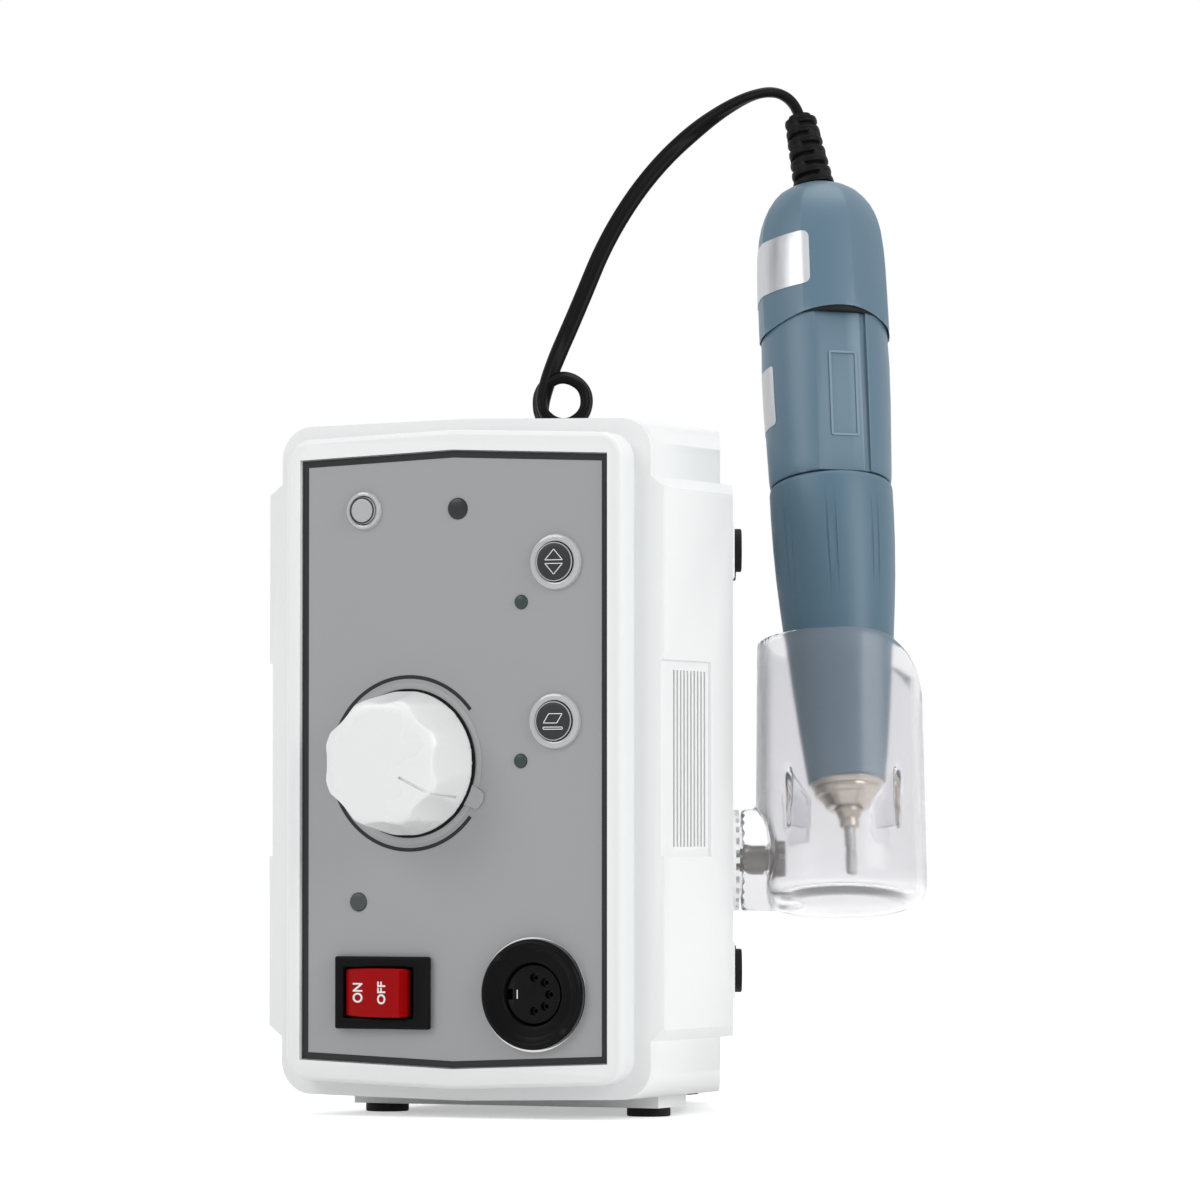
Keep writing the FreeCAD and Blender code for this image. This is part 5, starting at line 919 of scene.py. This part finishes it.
# indicator lamps: small domed lenses; the first stands for all their solids
for label, spot, reach, finish, nodes in (
    ("overloadLamp", (0.9, 52.7), 2.27, "lampSmoke", ["indicator_lenses"]),
    ("powerLamp", (-22.4, -30.2), 1.98, "lampGrey", []),
    ("turningLamp", (15.7, 32.8), 1.5, "lampGreen", []),
    ("modeLamp", (15.6, -0.5), 1.5, "lampGreen", []),
):
    lens = turnedPiece(label, [
        (-2.0, reach), (0.12, reach), (0.26, reach - 0.06), (0.4, reach * 0.86), (0.5, reach * 0.6),
        (0.55, reach * 0.2),
    ], count=48)
    dress(lens, "box", finish, nodes, panelPlace(*spot), 35)
print("buttons and lamps made")

# mains switch: a black frame with a well, and a rocker with two faces
switch = {
    "spot": (-17, -49.3), "low": (-10.2, -7.65, -0.02), "high": (11.8, 7.65, 1.8), "opening": (8.2, 5.35, 3),
    "wall": 1.15, "deep": 11, "tilt": -12, "pivot": 2.2,
}
case = block("switchFrame", switch["low"], switch["high"])
cutWith(case, block("opening", [-side for side in switch["opening"]], switch["opening"]))
soften(case, 0.45, 4)
well = block("switchWell", (-9.4, -6.5, -12), (9.4, 6.5, 0.01))
chooseFaces(well, lambda face: face.normal.z > 0.9)
bpy.ops.mesh.inset(thickness=switch["wall"] * mm)
pushUp(-switch["deep"])
case = settle(joinUp("switchFrame", [case, well]), panelPlace(*switch["spot"]))
evenShading(case)
dress(case, "box", "switchBlack", ["switch_housing"])

# across, top and half height at each of the rocker's stations
rockerShape = [
    (-7.35, 2.2, 4.85), (-6.9, 2.4, 4.95), (-5.0, 2.68, 5.05), (-2.5, 2.88, 5.12), (0.5, 2.98, 5.15),
    (3.5, 2.95, 5.15), (5.5, 2.82, 5.13), (7.0, 2.62, 5.1), (7.5, 0.3, 4.95),
]
bpy.ops.mesh.primitive_plane_add(size=mm)
rocker = settle(named("rockerCap"))
editAll(rocker)
for i in range(len(rockerShape) - 1):
    pushUp(0.1)
leaveAll()
order = sorted(rocker.data.vertices, key=lambda vertex: vertex.co.z)
rows = [order[i:i + 4] for i in range(0, len(order), 4)]
for row, (across, top, half) in zip(rows, rockerShape):
    for vertex in row:
        side = math.copysign(half, vertex.co.y)
        upper = vertex.co.x > 0
        foot = -3.2 + 0.25 * abs(across) if abs(across) > 4 else -4.2
        vertex.co = Vector((across, side, (top if upper else foot) + switch["pivot"])) * mm
merged(rocker)
soften(rocker, 0.35, 3, 24)
across, up = switch["spot"]
rockerPivot = Vector((across, panelSpot["face"] + switch["pivot"], panelSpot["middle"] + up)) * mm
rockerPlace = Matrix.Translation(rockerPivot) @ turnBy(switch["tilt"], "Z") @ turnBy(90, "X")
settle(rocker, rockerPlace)
evenShading(rocker, 25)
dress(rocker, "rocker", "rockerRed", ["rocker"])
words = []
for word, across, rise, size, narrow in (("ON", -3.45, 2.84, 3.6, 0.76), ("OFF", 3.0, 2.97, 2.9, 0.95)):
    fit = moveBy(across, 0, rise + switch["pivot"]) @ turnBy(90, "Z") @ Matrix.Diagonal((narrow, 1, 1, 1))
    words.append(writtenWord(word, size, 0.16, rockerPlace @ fit))
dress(joinUp("rockerLetters", words), "rocker", "letterWhite")

# handpiece socket: a lipped ring, a bright washer behind it, and the insert
socketSpot = (18.8, -49.3)
shell = turnedPiece("socketShell", [
    (-14, 6.65), (-14, 8.2), (0.01, 8.2), (0, 11.4), (0.2, 11.6), (1.3, 11.6), (1.75, 11.48), (2.08, 11.15),
    (2.2, 10.75), (2.2, 10.5), (2.0, 10.2), (1.35, 9.3), (1.22, 8.9), (1.2, 7.1), (1.08, 6.8), (0.8, 6.65),
], ends=False, count=128)
dress(shell, "box", "socketBlack", ["din_shell"], panelPlace(*socketSpot), 50)
washerRings = [(0.02, 8.4), (0.02, 12.0), (0.12, 12.05), (0.22, 12.0), (0.22, 8.4)]
washer = turnedPiece("socketWasher", washerRings, ends=False)
dress(washer, "box", "plugShell", place=panelPlace(socketSpot[0] - 0.15, socketSpot[1] - 0.05), smooth=35)
smoothCopy("din_insert", "box", "socketBlack", 0.12, "socketInsert")
key = block("socketKey", (-3.95, -0.95, -0.2), (-3.68, 0.95, 0.42))
soften(key, 0.06)
dress(key, "box", "plugShell", place=panelPlace(*socketSpot))
print("switch and socket made")

# tilting holder: one clear moulding, softened upright like a cast part, and its screw
cup = smoothCopy("holder_cup", "holder", "cupClear")
settle(cup, cupPlace.inverted())
castSkin(cup, 0.48, 14)
settle(cup, cupPlace)
smoothOut(cup, 60)
smoothCopy("rosette_ring", "box", "frameWhite", 0.08)
smoothCopy("holder_screw", "holder", "boltSteel", 0.15)
smoothCopy("holder_washer", "holder", "boltSteel", 0.1)

# handpiece, measured up its own axis
capProfile = [
    (117.0, 14.8), (117.7, 14.95), (122.5, 14.9), (128, 14.8), (132.3, 14.6), (136.5, 14.15), (139, 13.6),
    (141, 12.9), (143, 11.9), (145, 10.5), (146.5, 9.1), (147.6, 7.4), (148.3, 5.8), (148.5, 5.0),
]
bodyProfile = [
    (78.1, 13.1), (78.5, 13.4), (80, 13.55), (81, 13.6), (97, 14.1), (106, 14.2), (111, 14.05), (117.5, 14.0),
]


def bodyReach(height, angle):
    return profileRadius(bodyProfile, height)


def capReach(height, angle):
    step = 2 * math.pi / hand["facets"]
    offset = (angle - math.radians(hand["crease"])) % step - step / 2
    share = 1 - math.cos(step / 2) / math.cos(offset)
    fade = min(1, (capProfile[-1][0] - height) / 6)
    return profileRadius(capProfile, height) * (1 - share * hand["facetShare"] * fade)


# the upper half sits a little off the grip's line, and the cap's rim dips at the sides
def leanOver(piece, rim=False):
    for vertex in piece.data.vertices:
        height = vertex.co.z / mm
        if rim and height < hand["rim"]:
            around = math.atan2(vertex.co.y, vertex.co.x) - math.radians(hand["flatMiddle"])
            dip = hand["rimDip"] + hand["rimSwing"] * math.sin(around) ** 2
            vertex.co.z -= dip * (hand["rim"] - height) / hand["rimHigh"] * mm
        vertex.co.x += hand["lean"] * (height - hand["leanFrom"]) * mm
    piece.data.update()
    return settle(piece, handPlace)


capPiece = turnedPiece("rearCap", [(119, 12.6), (117.5, 14.4), (117.0, 14.5)] + capProfile, count=144)
for vertex in capPiece.data.vertices:
    reach, height = vertex.co.xy.length / mm, vertex.co.z / mm
    if reach > 14.6 or height > 120:
        wanted = capReach(height, math.atan2(vertex.co.y, vertex.co.x)) / profileRadius(capProfile, height)
        vertex.co.x *= wanted
        vertex.co.y *= wanted
dress(leanOver(capPiece, rim=True), "handpiece", "motorBlue", ["rear_cap"], smooth=20)

bodyPiece = turnedPiece("motorShell", [(78.1, 11.2)] + bodyProfile + [(117.5, 11.2)], ends=False, count=144)
flatPlace = turnBy(hand["flatMiddle"], "Z") @ moveBy(hand["flatOut"], 0, 98) @ turnBy(0.9, "Y")
flatHalf = hand["flatHalf"]
cutWith(bodyPiece, settle(block("flat", (0, -flatHalf, -22), (6, flatHalf, 22)), flatPlace))
cutWith(bodyPiece, settle(block("channel", (-0.5, flatHalf - 1.3, -22), (3, flatHalf + 0.05, 22)), flatPlace))
soften(bodyPiece, 0.14, 2, 30)
dress(leanOver(bodyPiece), "handpiece", "motorBlue", ["motor_shell"], smooth=30)
# a black ring in the groove under the cap's rim makes the gap there read black: painted shade
gapShade = turnedPiece("capGapShade", [(114.6, 11.5), (114.6, 14.3), (117.4, 14.3), (117.4, 11.5)], ends=False)
dress(leanOver(gapShade), "handpiece", "reliefRubber", smooth=35)
corners = [(-3.2, -9.8), (3.2, -9.8), (3.2, 9.8), (-3.2, 9.8)]
badge = printedShape("bodyFrame", corners, 0.5, 0.32, corner=0.5, low=-0.1)
settle(badge, flatPlace @ moveBy(0, 0.3, -2.2) @ turnBy(90, "Z") @ turnBy(90, "X"))
dress(leanOver(badge), "handpiece", "motorBlue", smooth=35)
for label in (
    stickLabel("capLabel", 24, 12.6, 1.6, capReach, -150, 127.4),
    stickLabel("bodyLabel", 13, 13.6, 0.8, bodyReach, -174, 97.6),
):
    dress(leanOver(label), "handpiece", "labelSilver", smooth=35)

sleeveProfile = [(26, 10.35), (43, 12.0), (50, 12.6), (57, 13.1), (64, 13.42), (71, 13.58)]
sleeveLine = sleeveProfile + [(77.6, 13.6)]
sleeve = turnedPiece("gripSleeve", [
    (9.95, 7.1), (9.95, 8.2), (10.3, 8.55), *sleeveProfile, (76.4, 13.6), (77.1, 13.5), (77.6, 13.1),
    (77.6, 7.1),
], ends=False, count=144)
fluting = {"pairs": 8, "apart": 4.0, "low": 49, "high": 75, "round": 0.42, "out": 0.16, "first": -95}
fluteLong = fluting["high"] - fluting["low"]
middle = (fluting["low"] + fluting["high"]) / 2
foot, top = (profileRadius(sleeveLine, fluting[end]) for end in ("low", "high"))
away = profileRadius(sleeveLine, middle) + fluting["out"]
fit = moveBy(away, 0, middle) @ Matrix.Rotation(math.atan((top - foot) / fluteLong), 4, "Y")
for i in range(fluting["pairs"]):
    for side in (-fluting["apart"], fluting["apart"]):
        turn = turnBy(360 / fluting["pairs"] * i + fluting["first"] + side, "Z")
        cutWith(sleeve, settle(rod(fluting["round"], fluteLong, 12), turn @ fit))
dress(sleeve, "grip", "gripBlue", ["grip_sleeve"], handPlace, 25)

nose = turnedPiece("noseHousing", [
    (4.3, 3.2), (4.3, 4.6), (4.6, 4.95), (5.5, 5.4), (6.8, 6.4), (6.9, 6.9), (7.2, 7.1), (8.0, 7.35),
    (8.15, 7.15), (8.5, 7.15), (8.65, 7.6), (9.4, 8.0), (9.8, 8.05), (9.85, 7.0), (9.85, 3.2),
], ends=False)
dress(nose, "handpiece", "noseSteel", ["nose_housing"], handPlace, 30)
nut = turnedPiece("colletNut", [
    (0.0, 1.25), (0.0, 1.9), (0.25, 2.1), (1.3, 2.2), (1.5, 2.0), (1.8, 2.0), (2.0, 2.3), (3.3, 2.75),
    (3.6, 2.8), (8.8, 2.8), (8.8, 1.25),
], ends=False, count=64)
dress(nut, "spindle", "noseSteel", ["collet_nut"], handPlace, 30)
burPiece = turnedPiece("burTool", [
    (-11.5, 0.45), (-11.3, 0.85), (-10.9, 1.1), (-10.4, 1.17), (-6.0, 1.17), (-5.4, 1.0), (-4.6, 0.95),
    (-4.2, 1.1), (-3.9, 1.17), (13.9, 1.17), (14.0, 1.0),
], count=48)
bur = {"low": -10.9, "high": -6.05, "cuts": 7, "teeth": 12, "twist": 3.2, "deep": 0.05}
chooseFaces(burPiece, lambda face: face.center.z < -5.9 * mm and face.center.xy.length > 0.9 * mm)
bpy.ops.mesh.subdivide(number_cuts=bur["cuts"])
leaveAll()
for vertex in burPiece.data.vertices:
    if bur["low"] * mm < vertex.co.z < bur["high"] * mm:
        around, rise = bur["teeth"] * math.atan2(vertex.co.y, vertex.co.x), vertex.co.z / mm * bur["twist"]
        wave = 1 + bur["deep"] * math.sin(around + rise) * math.sin(around - rise)
        vertex.co.x *= wave
        vertex.co.y *= wave
dress(burPiece, "spindle", "burSteel", ["bur"], handPlace, 50)
print("handpiece made")

# strain relief: a tapered core, seven rings, and bridges that join them by turns
relief = {"long": 17.4, "rings": 7, "foot": 4.65, "tip": 3.5, "thick": 1.5}
pieces = [turnedPiece("reliefCore", [(-1.2, 3.3), (0, 3.3), (17.3, 2.5), (17.4, 2.2)], count=64)]
pitch = relief["long"] / relief["rings"]
for i in range(relief["rings"]):
    low = i * pitch
    reach = relief["foot"] - (relief["foot"] - relief["tip"]) * low / relief["long"]
    high = low + relief["thick"]
    pieces.append(turnedPiece("reliefRing", [
        (low, reach - 1.7), (low, reach - 0.35), (low + 0.15, reach - 0.08), (low + 0.5, reach),
        (high - 0.5, reach - 0.05), (high - 0.12, reach - 0.15), (high, reach - 0.42), (high, reach - 1.7),
    ], ends=False, count=64))
    if i < relief["rings"] - 1:
        for side in (0, 180):
            far = (reach - 0.35, 1.7, low + pitch + 0.4)
            bridge = block("reliefBridge", (reach - 2.4, -1.7, high - 0.4), far)
            soften(bridge, 0.25, 2)
            pieces.append(settle(bridge, turnBy(side + 90 * (i % 2) - 45, "Z")))
reliefPiece = settle(joinUp("strainRelief", pieces), reliefPlace)
collarRings = [(146, 2.2), (146, 4.2), (148.6, 4.5), (149.2, 4.35), (149.6, 3.9), (149.6, 2.2)]
collarRing = settle(turnedPiece("reliefCollar", collarRings, ends=False), handPlace)
reliefPiece = joinUp("strainRelief", [reliefPiece, collarRing])
dress(reliefPiece, "handpiece", "reliefRubber", ["strain_relief"], smooth=40)

# plug on the cord's far end: ribbed boot, body, bright shell and five pins
plugPlace = Matrix.Translation(plugFace * mm) @ turnBy(-90, "Y")
plugSize = {"ribs": 5, "ribPitch": 2.3, "grooves": 6, "groovePitch": 2.4, "pins": 5, "turn": 45, "reach": 3.5}
rings = [(0, 1.9), (0, 3.0)]
for i in range(plugSize["ribs"]):
    low = 0.6 + i * plugSize["ribPitch"]
    reach = 3.25 + 0.24 * low / 2
    rings += [(low, reach), (low + 1.3, reach + 0.12), (low + 1.45, reach - 0.5), (low + 2.1, reach - 0.45)]
rings += [(12.0, 4.4), (12.1, 6.3), (12.6, 6.8), (14, 6.9)]
for i in range(plugSize["grooves"]):
    low = 16 + i * plugSize["groovePitch"]
    rings += [(low, 6.9), (low + 0.25, 6.55), (low + 0.9, 6.55), (low + 1.15, 6.9)]
rings += [(35.4, 6.9), (36, 6.5), (36, 1.9)]
plug = turnedPiece("cordPlug", rings, ends=False, count=72)
dress(plug, "box", "socketBlack", ["cord_plug"], plugPlace, 40)
noseRings = [(36, 5.7), (36, 6.4), (44.7, 6.4), (45, 6.2), (45, 5.75), (38.5, 5.6)]
dress(turnedPiece("plugNose", noseRings, ends=False), "box", "plugShell", place=plugPlace, smooth=40)
floorDisc = turnedPiece("plugFloor", [(36, 5.65), (38.4, 5.65), (38.5, 5.5), (38.5, 0.5)], count=72)
dress(floorDisc, "box", "socketBlack", place=plugPlace, smooth=35)
pins, reach = [], plugSize["reach"]
for i in range(plugSize["pins"]):
    angle = math.radians(plugSize["turn"] * (i - plugSize["pins"] // 2))
    pin = turnedPiece("pin", [(38.3, 0.72), (43.4, 0.72), (43.9, 0.6), (44.15, 0.3)], count=24)
    pins.append(settle(pin, moveBy(reach * math.cos(angle), reach * math.sin(angle), 0)))
dress(joinUp("plugPins", pins), "box", "pinBrass", place=plugPlace, smooth=35)
tie = smoothCopy("cord_tie", "box", "cordRubber", 0.2)
print("relief, plug and tie made")
